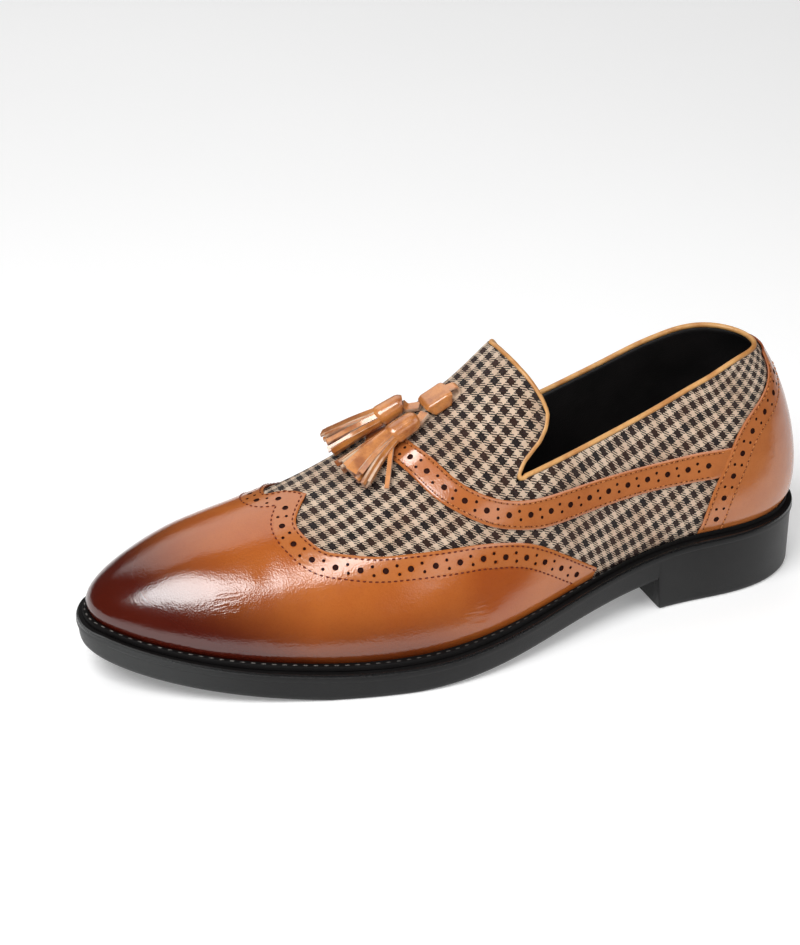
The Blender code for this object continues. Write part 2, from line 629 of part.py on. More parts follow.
def build_piping(material):
    """Piping along the topline and the tab's edge, turning back in each notch."""
    arms = {}
    for side in (1.0, -1.0):
        feet = even_stations(HEEL_END, NOTCH, 60)
        path = []
        for a in feet:
            x, along = column_path(a, side)
            top = topline(a)
            run = np.interp(top, surface(x, along)[:, 2], np.arange(len(x)))
            path.append((np.interp(run, np.arange(len(x)), x), np.interp(run, np.arange(len(x)), along)))
        path = np.array(path)
        low = edge_offset(surface(path[:, 0], path[:, 1]), outward(path[:, 0], path[:, 1]), side)
        turn = np.linspace(TAB_EDGE[0].turn, 90, 200)
        a = np.interp(turn, column(TAB_EDGE, "turn"), column(TAB_EDGE, "station", LENGTH))
        x = turned(a, turn, side)
        edge = resample(np.column_stack([x, a]), 0.001)
        high = edge_offset(surface(edge[:, 0], edge[:, 1]), outward(edge[:, 0], edge[:, 1]), side)
        arms[side] = (low, high)
    loop = []
    for side in (1.0, -1.0):
        low, high = arms[side]
        near = np.linalg.norm(low[:, None] - high[None], axis=2)
        width = 2 * PIPING_RADIUS + PIPING_TURN
        ahead = [i for i in range(len(low)) if near[i].min() >= width]
        i = max(ahead)
        j = int(np.argmin(near[i]))
        middle = (low[i] + high[j]) / 2
        out = (low[i] - high[j]) / 2
        forward = low[i] - low[i - 3]
        forward = forward - out * forward.dot(out) / out.dot(out)
        forward = forward / np.linalg.norm(forward) * np.linalg.norm(out)
        bend = [middle + out * np.cos(t) + forward * np.sin(t) for t in np.linspace(0, pi, 6)[1:-1]]
        lower = resample(low[:i + 1], PIPING_SPACING)
        upper = resample(high[j:], PIPING_SPACING)
        loop.append(np.vstack([lower, bend, upper]))
    points = np.vstack([loop[0], loop[1][::-1][1:-1]])
    curve = bpy.data.curves.new("collar_piping", "CURVE")
    curve.dimensions = "3D"
    curve.bevel_depth = PIPING_RADIUS
    curve.bevel_resolution = 1
    curve.use_fill_caps = True
    line = curve.splines.new("POLY")
    line.points.add(len(points) - 1)
    line.points.foreach_set("co", np.column_stack([points, np.ones(len(points))]).ravel())
    line.use_cyclic_u = True
    curve.materials.append(material)
    thing = bpy.data.objects.new("collar_piping", curve)
    COLLECTION.objects.link(thing)
    return thing


def loft(name, rings, material):
    """A closed solid through rings of points, with a fan over each end."""
    count = len(rings[0])
    points = np.vstack(rings).tolist() + [rings[0].mean(axis=0).tolist(), rings[-1].mean(axis=0).tolist()]
    faces = []
    for k in range(len(rings) - 1):
        for i in range(count):
            j = (i + 1) % count
            faces.append((k * count + i, k * count + j, (k + 1) * count + j, (k + 1) * count + i))
    first = len(points) - 2
    last = (len(rings) - 1) * count
    for i in range(count):
        j = (i + 1) % count
        faces.append((first, j, i))
        faces.append((first + 1, last + i, last + j))
    return add_mesh(name, points, faces, material, 1e-7)


def frames(rows, gap):
    """Middle, sideways, upward and forward directions of each ring of a piece that lies on the upper."""
    a = column(rows, "station", LENGTH)
    x = column(rows, "side", BALL_WIDTH)
    normal = outward(x, a)
    middle = surface(x, a) + normal * (column(rows, "height") + gap)[:, None]
    forward = np.gradient(middle, axis=0)
    forward = forward / np.linalg.norm(forward, axis=1)[:, None]
    sideways = np.cross(forward, normal)
    sideways = sideways / np.linalg.norm(sideways, axis=1)[:, None]
    return middle, sideways, np.cross(sideways, forward), forward


def build_tassel(name, rows, material):
    """Strap, wrapped cap and a skirt of strips with staggered ends, all one piece."""
    count = 2 * TASSEL_STRIPS
    angle = np.arange(count) * 2 * pi / count
    rib = np.where(np.arange(count) % 2 == 0, 1.0, -1.0)
    stagger = np.sin(np.arange(count) * 2.4)
    middle, sideways, up, forward = frames(rows, OVERLAY_LIFT + OVERLAY + 2 * CLEARANCE)
    rings = []
    for k, row in enumerate(rows):
        wide = row.width + rib * row.ridge
        tall = row.height + rib * row.ridge * 0.6
        ring = (middle[k] + sideways[k] * (wide * np.cos(angle))[:, None]
                + up[k] * (tall * np.sin(angle))[:, None])
        if k == len(rows) - 1:
            ring = ring + forward[k] * (STRIP_STAGGER * stagger)[:, None]
        rings.append(ring)
    return loft(name, rings, material)


def build_keeper(material):
    """Sleeve and loop end, one piece of leather on the ridge."""
    angle = np.arange(12) * 2 * pi / 12 + pi / 12
    square = 0.55
    middle, sideways, up, _ = frames(KEEPERS, CLEARANCE)
    cosine = np.sign(np.cos(angle)) * np.abs(np.cos(angle)) ** square
    sine = np.sign(np.sin(angle)) * np.abs(np.sin(angle)) ** square
    rings = []
    for k, row in enumerate(KEEPERS):
        rings.append(middle[k] + sideways[k] * (row.width * cosine)[:, None]
                     + up[k] * (row.height * sine)[:, None])
    return loft("tassel_keeper", rings, material)


def centre_parts(parts):
    """Moves every part so that the sole's box is centred on the origin in plan."""
    points = np.array([v.co for v in parts[0].data.vertices])
    shift = -(points.max(axis=0) + points.min(axis=0)) / 2
    for part in parts:
        if part.type == "MESH":
            for vertex in part.data.vertices:
                vertex.co.x += shift[0]
                vertex.co.y += shift[1]
        else:
            for point in part.data.splines[0].points:
                point.co.x += shift[0]
                point.co.y += shift[1]


def main():
    for thing in list(bpy.data.objects):
        bpy.data.objects.remove(thing, do_unlink=True)
    bpy.context.scene.collection.children.link(COLLECTION)
    rubber = add_material("rubber", (0.025, 0.028, 0.028), 0.55)
    welt = add_material("welt_rubber", (0.02, 0.02, 0.021), 0.5)
    lining = add_material("lining", (0.015, 0.014, 0.014), 0.6)
    cloth = add_material("check_cloth", (0.33, 0.27, 0.23), 0.85)
    leather = add_material("tan_leather", (0.42, 0.15, 0.045), 0.3)
    edging = add_material("piping_leather", (0.6, 0.3, 0.1), 0.4)
    tassel = add_material("tassel_leather", (0.5, 0.23, 0.09), 0.35)
    parts = [
        build_outsole(rubber),
        build_welt(welt),
        build_insole(lining),
        build_upper(cloth),
        build_wing(leather),
        build_band(leather),
        build_counter(leather),
        build_piping(edging),
        build_tassel("tassel_lateral", TASSEL_LATERAL, tassel),
        build_tassel("tassel_medial", TASSEL_MEDIAL, tassel),
        build_keeper(tassel),
    ]
    centre_parts(parts)


main()
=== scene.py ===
"""Dresses a left tassel loafer over its solids: checked cloth, tan leather, tassels, black sole.

Metres, Z up, the toe toward -Y, the outer side of the foot toward +X, the sole on Z = 0.
"""

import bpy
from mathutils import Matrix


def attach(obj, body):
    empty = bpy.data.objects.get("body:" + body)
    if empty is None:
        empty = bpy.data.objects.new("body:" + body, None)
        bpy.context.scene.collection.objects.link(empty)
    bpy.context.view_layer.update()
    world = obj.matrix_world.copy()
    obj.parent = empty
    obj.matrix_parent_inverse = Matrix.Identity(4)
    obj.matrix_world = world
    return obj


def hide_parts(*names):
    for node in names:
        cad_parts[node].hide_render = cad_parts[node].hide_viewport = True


bl_info = {
    "name": "Tassel loafer dresser",
    "version": (1, 0, 0),
    "blender": (4, 5, 0),
    "location": "3D View > Sidebar > Loafer",
    "description": "Builds a loafer's cloth, leather, stitches, tassels and sole over its solids",
    "category": "Add Mesh",
}

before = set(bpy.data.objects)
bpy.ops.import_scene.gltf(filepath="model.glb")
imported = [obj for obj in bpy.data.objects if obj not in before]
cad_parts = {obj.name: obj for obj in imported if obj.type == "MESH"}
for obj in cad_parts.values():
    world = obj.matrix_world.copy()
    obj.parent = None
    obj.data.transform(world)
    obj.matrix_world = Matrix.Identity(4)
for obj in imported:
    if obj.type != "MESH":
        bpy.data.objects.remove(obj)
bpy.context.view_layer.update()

from collections import namedtuple
from math import pi, radians

import bmesh
import bpy
import numpy as np
from mathutils import Matrix, Vector


def table(kind, *rows):
    """Rows of numbers under the names of their columns."""
    return [kind(*row) for row in rows]


# Driving sizes
LENGTH = 0.300          # the sole from heel back to toe tip
BALL_WIDTH = 0.104      # the sole across the ball
INSTEP_HEIGHT = 0.112   # the instep ridge above the floor
HEEL_HEIGHT = 0.028     # the sole's top above the floor at the heel

# Thicknesses and clearances
WALL = 0.0020
CLEARANCE = 0.00035
OVERLAY_LIFT = 0.00045
OVERLAY = 0.0010
OVERLAY_TOP = OVERLAY_LIFT + OVERLAY
OVERLAY_SKIN = OVERLAY - 0.0002   # the overlay's own wall
PIPING_RADIUS = 0.00108
PIPING_GAP = -0.0003    # the piping is sewn over the wall's edge
PIPING_TURN = 0.0002    # space between the piping's two runs where it turns back in a notch
PIPING_STEP = 0.0012
INSOLE_THICKNESS = 0.0028
INSOLE_ROOM = 0.0012    # between the insole and the wall
WELT_HEIGHT = 0.0019
WELT_LEDGE = 0.0026     # how far the sole's rim stands out beyond the welt
OVERLAY_FOOT = 0.0006   # lower edge of the overlays above the feather line
FOOT_LIFT = 0.0006      # how far the overlays' foot stands off the form
FOOT_TUCK = (0.0012, 0.0060)   # heights between which it comes out to the full lift

# Lasted shape: widths and sideways places are shares of BALL_WIDTH, ridge and swell_height of
# INSTEP_HEIGHT, rim of HEEL_HEIGHT and station of LENGTH, counted from the heel back of the sole
Section = namedtuple(
    "Section", "station lateral medial ridge_x ridge rim extension swell swell_height")
SECTIONS = table(
    Section,
    (0.015, 0.288, 0.288, -0.029, 1.054, 1.008, 0.043, 0.031, 0.196),
    (0.117, 0.284, 0.298, -0.019, 1.070, 0.993, 0.043, 0.030, 0.199),
    (0.200, 0.279, 0.288, -0.019, 1.080, 0.972, 0.043, 0.025, 0.196),
    (0.300, 0.312, 0.250, -0.038, 1.082, 0.846, 0.046, 0.013, 0.184),
    (0.420, 0.404, 0.202, -0.077, 1.004, 0.626, 0.053, 0.005, 0.161),
    (0.480, 0.452, 0.226, -0.080, 0.871, 0.536, 0.059, 0.007, 0.148),
    (0.570, 0.488, 0.310, -0.072, 0.728, 0.442, 0.067, 0.011, 0.128),
    (0.633, 0.476, 0.365, -0.066, 0.634, 0.410, 0.067, 0.013, 0.117),
    (0.707, 0.433, 0.395, -0.056, 0.549, 0.418, 0.066, 0.015, 0.106),
    (0.780, 0.375, 0.389, -0.038, 0.500, 0.477, 0.065, 0.017, 0.101),
    (0.860, 0.310, 0.349, -0.027, 0.460, 0.586, 0.064, 0.020, 0.098),
    (0.917, 0.270, 0.314, -0.019, 0.439, 0.703, 0.063, 0.022, 0.098),
    (0.978, 0.231, 0.288, -0.019, 0.420, 0.867, 0.062, 0.024, 0.098),
)
HEEL_END = SECTIONS[0].station * LENGTH
TOE_END = SECTIONS[-1].station * LENGTH

# Round ends: how far each reaches along the shoe, and its superellipse power
End = namedtuple("End", "reach power")
HEEL_PLAN = End(0.160 * LENGTH, 2.30)
TOE_PLAN = End(0.200 * LENGTH, 2.20)
HEEL_RISE = End(0.207 * LENGTH, 2.35)
TOE_RISE = End(0.150 * LENGTH, 2.20)
SIDE_POWER = 2.15
TOP_POWER = 2.0
HEEL_PIVOT = 0.167 * LENGTH
TOE_PIVOT = 0.817 * LENGTH
SWELL_FADE = 0.033 * LENGTH
RING_FADE = 0.067 * LENGTH

# Underside of the sole: height as a share of HEEL_HEIGHT, the ball flat on the floor
Tread = namedtuple("Tread", "station height")
TREADS = table(
    Tread,
    (0.000, 0.500), (0.255, 0.470), (0.330, 0.370), (0.450, 0.172), (0.560, 0.040), (0.615, 0.000),
    (0.725, 0.000), (0.800, 0.085), (0.900, 0.255), (1.000, 0.520),
)
BREAST = 0.244 * LENGTH
BREAST_SLOPE = 0.0012
BREAST_ROUND = 0.0018     # the rounding of the heel's lower front corner
BREAST_CUTS = (1.0, 0.62, 0.32, 0.12)
BALL_FLAT = (0.615 * LENGTH, 0.725 * LENGTH)

# The sole's side from the tread up: inset from the rim, height above the tread or below the top
Step = namedtuple("Step", "inset from_tread below_top")
SOLE_STEPS = table(
    Step,
    (0.0026, 0.0, None), (0.0017, 0.0003, None), (0.0012, 0.0009, None), (0.0009, 0.0022, None),
    (0.0006, None, 0.0041), (0.0005, None, 0.0034), (0.0001, None, 0.0031), (0.0000, None, 0.0026),
    (0.0000, None, 0.0011), (0.0003, None, 0.0003), (0.0009, None, 0.0),
)

# Collar: topline height as a share of INSTEP_HEIGHT at each column's foot, from heel back to notch
Top = namedtuple("Top", "station height")
TOPLINE = table(
    Top,
    (0.0150, 0.8516), (0.0310, 0.8558), (0.0850, 0.8593), (0.1380, 0.8413), (0.1980, 0.7976),
    (0.2400, 0.7587), (0.2820, 0.7255), (0.3300, 0.6944), (0.3770, 0.6683), (0.4230, 0.6441),
    (0.4400, 0.6346), (0.4500, 0.6288), (0.4580, 0.6242),
)
NOTCH = 0.458 * LENGTH

# Places on the lasted surface: turn is 0 at the feather line and 90 on the ridge
Edge = namedtuple("Edge", "station turn")
TAB_EDGE = table(
    Edge,
    (0.4580, 38.15), (0.4529, 40.66), (0.4445, 42.29), (0.4334, 42.93), (0.4194, 43.74),
    (0.4095, 45.78), (0.4040, 49.02), (0.4081, 54.17), (0.4133, 58.84), (0.4189, 63.83),
    (0.4247, 69.07), (0.4295, 74.83), (0.4330, 80.03), (0.4350, 85.05), (0.4370, 90.0),
)
TAB_BLEND = 0.120 * LENGTH
TAB_BLEND_POWER = 1.5

# Wing cap: each row joins a foot on the feather line to a place on the wing's edge
Wing = namedtuple("Wing", "foot station turn")
WING_LATERAL = table(
    Wing,
    (0.350, 0.345, 3.4), (0.385, 0.377, 8.3), (0.424, 0.417, 14.8), (0.458, 0.452, 20.7),
    (0.492, 0.487, 25.8), (0.530, 0.523, 30.0), (0.570, 0.559, 33.2), (0.605, 0.589, 36.0),
    (0.642, 0.619, 39.0), (0.682, 0.649, 42.4), (0.728, 0.679, 47.2), (0.790, 0.708, 53.4),
    (0.845, 0.721, 61.5), (0.900, 0.725, 70.0), (0.945, 0.714, 76.5), (0.978, 0.697, 82.7),
)
WING_MEDIAL = WING_LATERAL[:9] + table(
    Wing,
    (0.682, 0.652, 43.0), (0.728, 0.688, 50.5), (0.790, 0.718, 62.0), (0.845, 0.733, 73.0),
    (0.900, 0.738, 84.0), (0.945, 0.720, 88.5), (0.978, 0.697, 82.7),
)

# The two sides of the shoe, and of the wing cap
SIDES = (1.0, -1.0)
WING_SIDES = ((WING_LATERAL, 1.0), (WING_MEDIAL, -1.0))

# Side band: upper and lower edge, from the ridge down and back to the counter
Band = namedtuple("Band", "top_station top_turn low_station low_turn")
BANDS = table(
    Band,
    (0.572, 90.0, 0.606, 90.0), (0.566, 77.0, 0.593, 75.0), (0.552, 66.0, 0.579, 62.5),
    (0.535, 54.5, 0.562, 51.0), (0.511, 45.0, 0.535, 41.2), (0.481, 37.4, 0.503, 33.0),
    (0.446, 31.4, 0.465, 26.2), (0.406, 27.6, 0.420, 20.8), (0.347, 25.3, 0.355, 18.2),
    (0.265, 24.0, 0.270, 17.0), (0.204, 23.9, 0.208, 16.3), (0.150, 24.6, 0.168, 16.4),
    (0.132, 25.0, 0.150, 16.6),
)

# Heel counter: height above the feather line, and the foot station its front edge reaches there
Counter = namedtuple("Counter", "height station")
COUNTERS = table(
    Counter,
    (0.0026, 0.186), (0.0220, 0.168), (0.0335, 0.149), (0.0425, 0.130), (0.0490, 0.102),
    (0.0540, 0.068), (0.0585, 0.043), (0.0652, 0.030),
)

# Tassels: place on the shoe, half width and half height, from strap to fringe ends
Tassel = namedtuple("Tassel", "station side width height")
TASSEL_LATERAL = table(
    Tassel,
    (0.5340, 0.023, 0.0019, 0.0009), (0.5475, 0.042, 0.0019, 0.0009),
    (0.5495, 0.045, 0.0036, 0.0034), (0.5525, 0.048, 0.0041, 0.0039),
    (0.5760, 0.053, 0.0044, 0.0042), (0.5785, 0.054, 0.0042, 0.0040),
    (0.5810, 0.055, 0.0044, 0.0041), (0.6080, 0.070, 0.0064, 0.0044),
    (0.6400, 0.089, 0.0088, 0.0040),
)
TASSEL_MEDIAL = table(
    Tassel,
    (0.5340, -0.023, 0.0019, 0.0009), (0.5475, -0.058, 0.0019, 0.0009),
    (0.5495, -0.063, 0.0036, 0.0034), (0.5525, -0.066, 0.0041, 0.0039),
    (0.5760, -0.068, 0.0044, 0.0042), (0.5785, -0.069, 0.0042, 0.0040),
    (0.5810, -0.070, 0.0044, 0.0041), (0.6080, -0.090, 0.0064, 0.0044),
    (0.6400, -0.115, 0.0086, 0.0042),
)
TASSEL_STRIPS = 13
INNER_STRIPS = 9                  # strips of the skirt's inner round, and its share
INNER_SHARE = 0.60                # of the outer round's size
STRAP_POINTS = 12
STRIP_POINTS = 16
CAP_POINTS = 24
TUBE_POINTS = 48
STRAP_WIDE = 0.0021
STRAP_THICK = 0.0016
STRIP_THICK = 0.0012
STRIP = (0.0010, 0.00025)         # a strip's half width at its root, and what it gains by its end
BROAD_STRIP = (0.0021, 0.0009)
SKIRT_WIDE = 0.0031               # the skirt at its root
SKIRT_TALL = 0.0029
SKIRT_LONG = 0.017
CAP_RIM = 0.76                    # the raw edge at the cap's ends, and how deep its middle is sunk
CAP_SUNK = 0.0008
CAP_LAP = 0.10                    # the step of its lapped edge, as a share of its size

# Keeper of the tassels: a sleeve over the crossed strap with the strap's loop behind it
Keeper = namedtuple("Keeper", "station side width height")
KEEPERS = table(
    Keeper,
    (0.5005, 0.005, 0.0044, 0.0026), (0.5025, 0.005, 0.0049, 0.0030),
    (0.5265, 0.000, 0.0049, 0.0030), (0.5290, 0.000, 0.0044, 0.0026),
)

# Grid counts and paths
PATH_POINTS = 161
RUN_POINTS = 1201
NOTCH_POINT = 79
BACK_COLUMNS = 74
FRONT_COLUMNS = 92
LOW_ROWS = 30
TAB_ROWS = 26
WING_COLUMNS = 170
WING_SHARES = (*np.linspace(0, 0.93, 38), *np.linspace(0.93, 1.0, 9)[1:])
EDGE_SHARE = 0.5         # how much the wing's edge, beside its foot, spaces its columns
TIP_FROM = 0.75          # from this foot on the columns are closer, by a share
TIP_SHARE = 1.6
BAND_COLUMNS = 150
BAND_STEPS = 41
BAND_SHARES = (0, 0.02, 0.05, 0.09, *np.linspace(0.16, 0.84, 8), 0.91, 0.95, 0.98, 1)
COUNTER_COLUMNS = 44
COUNTER_ROWS = 60
COUNTER_STEPS = 90
COUNTER_CLOSER = 1.25    # draws the counter's columns together at its front edge
SOLE_COLUMNS = 220
INSOLE_COLUMNS = 110
WELT_COLUMNS = 170
SHEET_MERGE = 2e-5
SOLID_MERGE = 1e-6
TASSEL_MERGE = 1e-7

# Steps and bounds of the search for a place on the form, and of its slopes
END_MARGIN = 0.0003
SLOPE_STEP = 2e-5
SETTLE_ROUNDS = 6
ALONG_STEP = 2e-4
LEAN_STEP = 0.3
MOST_SLIDE = 0.004
MOST_SWING = 8
MOST_LEAN = 89.9

# Angles in degrees beyond which edges are sharp
SOLE_SHARP = 38
WELT_SHARP = 50
TASSEL_SHARP = 42
HOLE_SHARP = 48

# The welt's section: share of the way out from the upper, and share of its height
WELT_PROFILE = (
    (0.0, 0.0), (0.0, 0.86), (0.06, 1.0), (0.5, 1.04), (0.86, 1.0), (0.97, 0.88), (1.0, 0.62),
    (1.0, 0.0),
)

# The insole's section: inset from its rim, and height above the sole
INSOLE_STEPS = (
    (0.0, CLEARANCE), (0.0, INSOLE_THICKNESS - 0.0010), (0.0004, INSOLE_THICKNESS - 0.0003),
    (0.0012, INSOLE_THICKNESS),
)

# How many rounds of the sole's side, from the top down, are its smooth lip
LIP_ROUNDS = 2

# Stitches: where the welt's begin from the heel's back, their share of the way out, half sizes
WELT_SEWN = 0.095
WELT_SEAM = 0.62
WELT_STITCH = (0.0011, 0.00034, 0.00026)
STITCH_SHARE = 0.32
STITCH = (0.00032, 0.00024)
STITCH_LIFT = 0.00008
NEEDLE_DIP = (0.00036, 0.00034, 0.00012)

# Rows of holes and stitches: how high they begin, how far they run on to meet, where they stop
ROW_FOOT = 0.004
ROW_REACH = 0.014
REACH_STEPS = 21
ROW_CLEAR = 0.9          # the least share of its inset that a row keeps from the edge
COUNTER_SEWN = (0.0045, 0.003)
BACK_STRIP = 0.0022
PAIR_SLANT = 0.0003
PIN_LENGTH = 0.0024

# How far the side band runs on under the counter
BAND_TUCK = 0.0066
BAND_RISE = 0.6          # how steeply it comes out from there

# How the overlays' free edges roll down
EDGE_ROLL = 0.00042
EDGE_ROUND = 0.00045

# Soft creases of the wing cap: where each starts and ends on the form, how wide and how deep it is
Crease = namedtuple("Crease", "start end width depth")
CREASES = table(
    Crease,
    ((0.016, -0.0825, 0.0545), (0.0345, -0.0846, 0.0385), 0.0046, 0.00022),
    ((0.0473, 0.0010, 0.0410), (0.0520, -0.0120, 0.0180), 0.0040, 0.00030),
    ((-0.014, -0.0850, 0.0545), (-0.0330, -0.0800, 0.0390), 0.0046, 0.00020),
)
CREASE_FADE = 0.12       # share of a crease at each end that keeps one depth

# Places on the sides, at the back of the wing cap, darkened with painted shade, and how far round
# each that reaches
PAINTED_SHADE_SPOTS = ((0.0490, 0.0010, 0.0375), (-0.0400, 0.0010, 0.0375))
PAINTED_SHADE_REACH = (0.024, 0.006)

# Where the leather has fine wrinkles, and how far round each place they reach
Wrinkle = namedtuple("Wrinkle", "place reach")
WRINKLES = table(
    Wrinkle,
    ((0.0293, -0.1002, 0.0384), 0.0085), ((0.0515, -0.0090, 0.0256), 0.0075),
    ((-0.0300, -0.0900, 0.0384), 0.0085),
)

# The cloth's lay: terms of its thread place along and across the shoe, in tenths of a metre
Term = namedtuple("Term", "size along down")
LAY_START = 0.14
HEEL_ROLL = 0.030
LAY_ALONG = table(
    Term,
    (28.098, 1, 0), (3.455, 2, 0), (-2.635, 3, 0), (-2.362, 4, 0), (16.970, 0, 2), (-2.744, 1, 2),
    (2.519, 2, 2), (1.245, 3, 2), (-6.865, 0, 3), (3.887, 1, 3),
)
LAY_ACROSS = table(
    Term,
    (19.468, 0, 1), (-17.779, 1, 1), (8.336, 2, 1), (1.538, 3, 1), (-10.637, 0, 2), (30.572, 1, 2),
    (0.699, 2, 2), (5.902, 0, 3), (-12.474, 1, 3),
)

# The loose strip of the outer tassel: its reach along and across, its start's height and its drop
LONE_REACH = (0.0097, 0.0150)
LONE_HIGH = 0.0034
LONE_DROP = 0.0020
LONE_SIZE = (0.0010, 0.0010)   # its half width and its thickness

# The keeper's lap and squareness, and the strap's loop behind it
KEEPER_POINTS = 20
KEEPER_LAP = 0.05
KEEPER_SQUARE = 0.32
LOOP_UP = 0.0004
LOOP_BACK = 0.0024
LOOP_ROUND = 0.0022
LOOP_IN = -0.0020        # how far its two ends run into the sleeve, and up or down there
LOOP_APART = 0.0016
LOOP_THICK = 0.0010
LOOP_POINTS = 15

# The camera in the shoe's own frame, in metres and degrees
CAMERA = (0.7853, -0.3259, 0.4993)
CAMERA_AZIMUTH = 68.76
CAMERA_ELEVATION = 27.33
CAMERA_LENS = 110.87
CAMERA_SENSOR = 36.0

# Soft lights: place, the place each faces, width and height, power in watts, roll in degrees
Softbox = namedtuple("Softbox", "name place aim width height power roll")
SOFTBOXES = table(
    Softbox,
    ("front_box", (0.505, -0.605, 1.01), (0, -0.08, 0.05), 0.76, 0.62, 15.6, -20.0),
    ("glint_box", (-0.26, -0.43, 1.16), (0.02, -0.03, 0.07), 0.26, 0.20, 2.4, 0.0),
    ("side_box", (1.45, 0.34, 0.62), (0, 0, 0.05), 0.8, 0.5, 1.8, 0.0),
    ("inner_box", (-0.80, 0.0, 1.10), (0, -0.05, 0.05), 1.4, 1.2, 6.5, 0.0),
    ("back_box", (0.70, 0.75, 0.85), (0, 0.1, 0.05), 0.9, 0.9, 4.5, 0.0),
)
WORLD_STRENGTH = 0.05

# The floor, and a sheet of paper on it that the shoe's gloss shows
FLOOR = ((-12, -12), (12, -12), (12, 12), (-12, 12))
FLOOR_DROP = -0.0004
PAPER = ((-0.6, -0.6), (0.30, -0.6), (0.21, -0.15), (0.10, 0.02), (0.09, 0.6), (-0.6, 0.6))

# Cloth: threads in a repeat and how many are dark, and the spread of cloudy patches
THREADS = 16.0
DARK_THREADS = 9.0
CLOUDY = (0.35, 0.7)


def spline(xs, ys):
    """A natural cubic curve through (xs, ys), held level beyond its ends."""
    xs = np.asarray(xs, float)
    ys = np.asarray(ys, float)
    gap = np.diff(xs)
    count = len(xs)
    matrix = np.eye(count)
    bend = np.zeros(count)
    for i in range(1, count - 1):
        matrix[i, i - 1:i + 2] = gap[i - 1], 2 * (gap[i - 1] + gap[i]), gap[i]
        bend[i] = 6 * ((ys[i + 1] - ys[i]) / gap[i] - (ys[i] - ys[i - 1]) / gap[i - 1])
    curve = np.linalg.solve(matrix, bend)

    def value(x):
        x = np.clip(np.asarray(x, float), xs[0], xs[-1])
        i = np.clip(np.searchsorted(xs, x) - 1, 0, count - 2)
        d = xs[i + 1] - xs[i]
        t = (x - xs[i]) / d
        u = 1 - t
        flat = u * ys[i] + t * ys[i + 1]
        return flat + d * d / 6 * ((u**3 - u) * curve[i] + (t**3 - t) * curve[i + 1])

    return value


def column(rows, name, scale=1.0):
    """One named column of a table as an array."""
    return np.array([getattr(row, name) for row in rows], float) * scale


def section_curve(name, scale):
    """One column of the sections as a curve along the shoe."""
    return spline(column(SECTIONS, "station", LENGTH), column(SECTIONS, name, scale))


lateral, medial, ridge_x, extension, swell = [
    section_curve(name, BALL_WIDTH)
    for name in ("lateral", "medial", "ridge_x", "extension", "swell")
]
ridge, swell_height = [section_curve(name, INSTEP_HEIGHT) for name in ("ridge", "swell_height")]
rim = section_curve("rim", HEEL_HEIGHT)
topline = spline(column(TOPLINE, "station", LENGTH), column(TOPLINE, "height", INSTEP_HEIGHT))
tread_curve = spline(column(TREADS, "station", LENGTH), column(TREADS, "height", HEEL_HEIGHT))


def foot(a):
    """Height of the feather line, where the upper stands on the sole."""
    return rim(a) + CLEARANCE


def ends(a, heel, toe):
    """How full the form is: 1 along the shoe, falling to 0 round its heel and toe ends."""
    u = np.clip(1 - (a - HEEL_END) / heel.reach, 0, 1)
    v = np.clip(1 - (TOE_END - a) / toe.reach, 0, 1)
    return (1 - u**heel.power) ** (1 / heel.power) * (1 - v**toe.power) ** (1 / toe.power)


def half(a, side):
    """Distance from the ridge line out to the feather line on one side."""
    wide = np.where(side > 0, lateral(a) - ridge_x(a), medial(a) + ridge_x(a))
    return np.maximum(wide * ends(a, HEEL_PLAN, TOE_PLAN), 1e-7)


def rise(a):
    """Height of the ridge above the feather line."""
    return np.maximum((ridge(a) - foot(a)) * ends(a, HEEL_RISE, TOE_RISE), 1e-7)


def level(x, a, z, side):
    """1 on the lasted form, less inside it."""
    across = np.abs(x - ridge_x(a)) / half(a, side)
    up = np.maximum(z - foot(a), 0) / rise(a)
    return across**SIDE_POWER + up**TOP_POWER


def across_of(x, a):
    """The side of the ridge for plan places, and their share of the way to the feather line."""
    side = np.where(x >= ridge_x(a), 1.0, -1.0)
    return side, np.clip(np.abs(x - ridge_x(a)) / half(a, side), 0, 1)


def up_at(a, across):
    """Height of the lasted form above the feather line."""
    return rise(a) * (1 - across**SIDE_POWER) ** (1 / TOP_POWER)


def outward(x, a):
    """Unit normal of the lasted form, in (x, y, z)."""
    side, across = across_of(x, a)
    a = np.clip(a, HEEL_END + END_MARGIN, TOE_END - END_MARGIN)
    x = ridge_x(a) + side * across * half(a, side)
    z = foot(a) + up_at(a, across)
    d = SLOPE_STEP
    normal = np.stack([
        level(x + d, a, z, side) - level(x - d, a, z, side),
        level(x, a - d, z, side) - level(x, a + d, z, side),
        level(x, a, z + d, side) - level(x, a, z - d, side),
    ], -1)
    return normal / np.linalg.norm(normal, axis=-1, keepdims=True)


def surface(x, a, lift=0.0):
    """Points of the lasted form above plan places (x, station), lifted along the normal."""
    x = np.asarray(x, float)
    a = np.asarray(a, float)
    _, across = across_of(x, a)
    up = up_at(a, across)
    pivot = np.clip(a, HEEL_PIVOT, TOE_PIVOT)
    dx = x - ridge_x(pivot)
    da = a - pivot
    far = np.maximum(np.hypot(dx, da), 1e-9)
    tall = up / swell_height(a)
    out = swell(a) * tall * np.exp(1 - tall) * (1 - np.exp(-((far / SWELL_FADE) ** 2)))
    points = np.stack([x + dx / far * out, LENGTH / 2 - a - da / far * out, foot(a) + up], -1)
    return points + outward(x, a) * lift if lift else points


def turned(a, turn, side):
    """Plan place at a station and a turn, which is 0 at the feather line and 90 on the ridge."""
    cosine = np.clip(np.cos(np.radians(turn)), 0, 1)
    return ridge_x(a) + side * half(a, side) * cosine ** (2 / SIDE_POWER)


def feather(a, side):
    """Sideways place of the feather line on one side."""
    return ridge_x(a) + side * half(a, side)


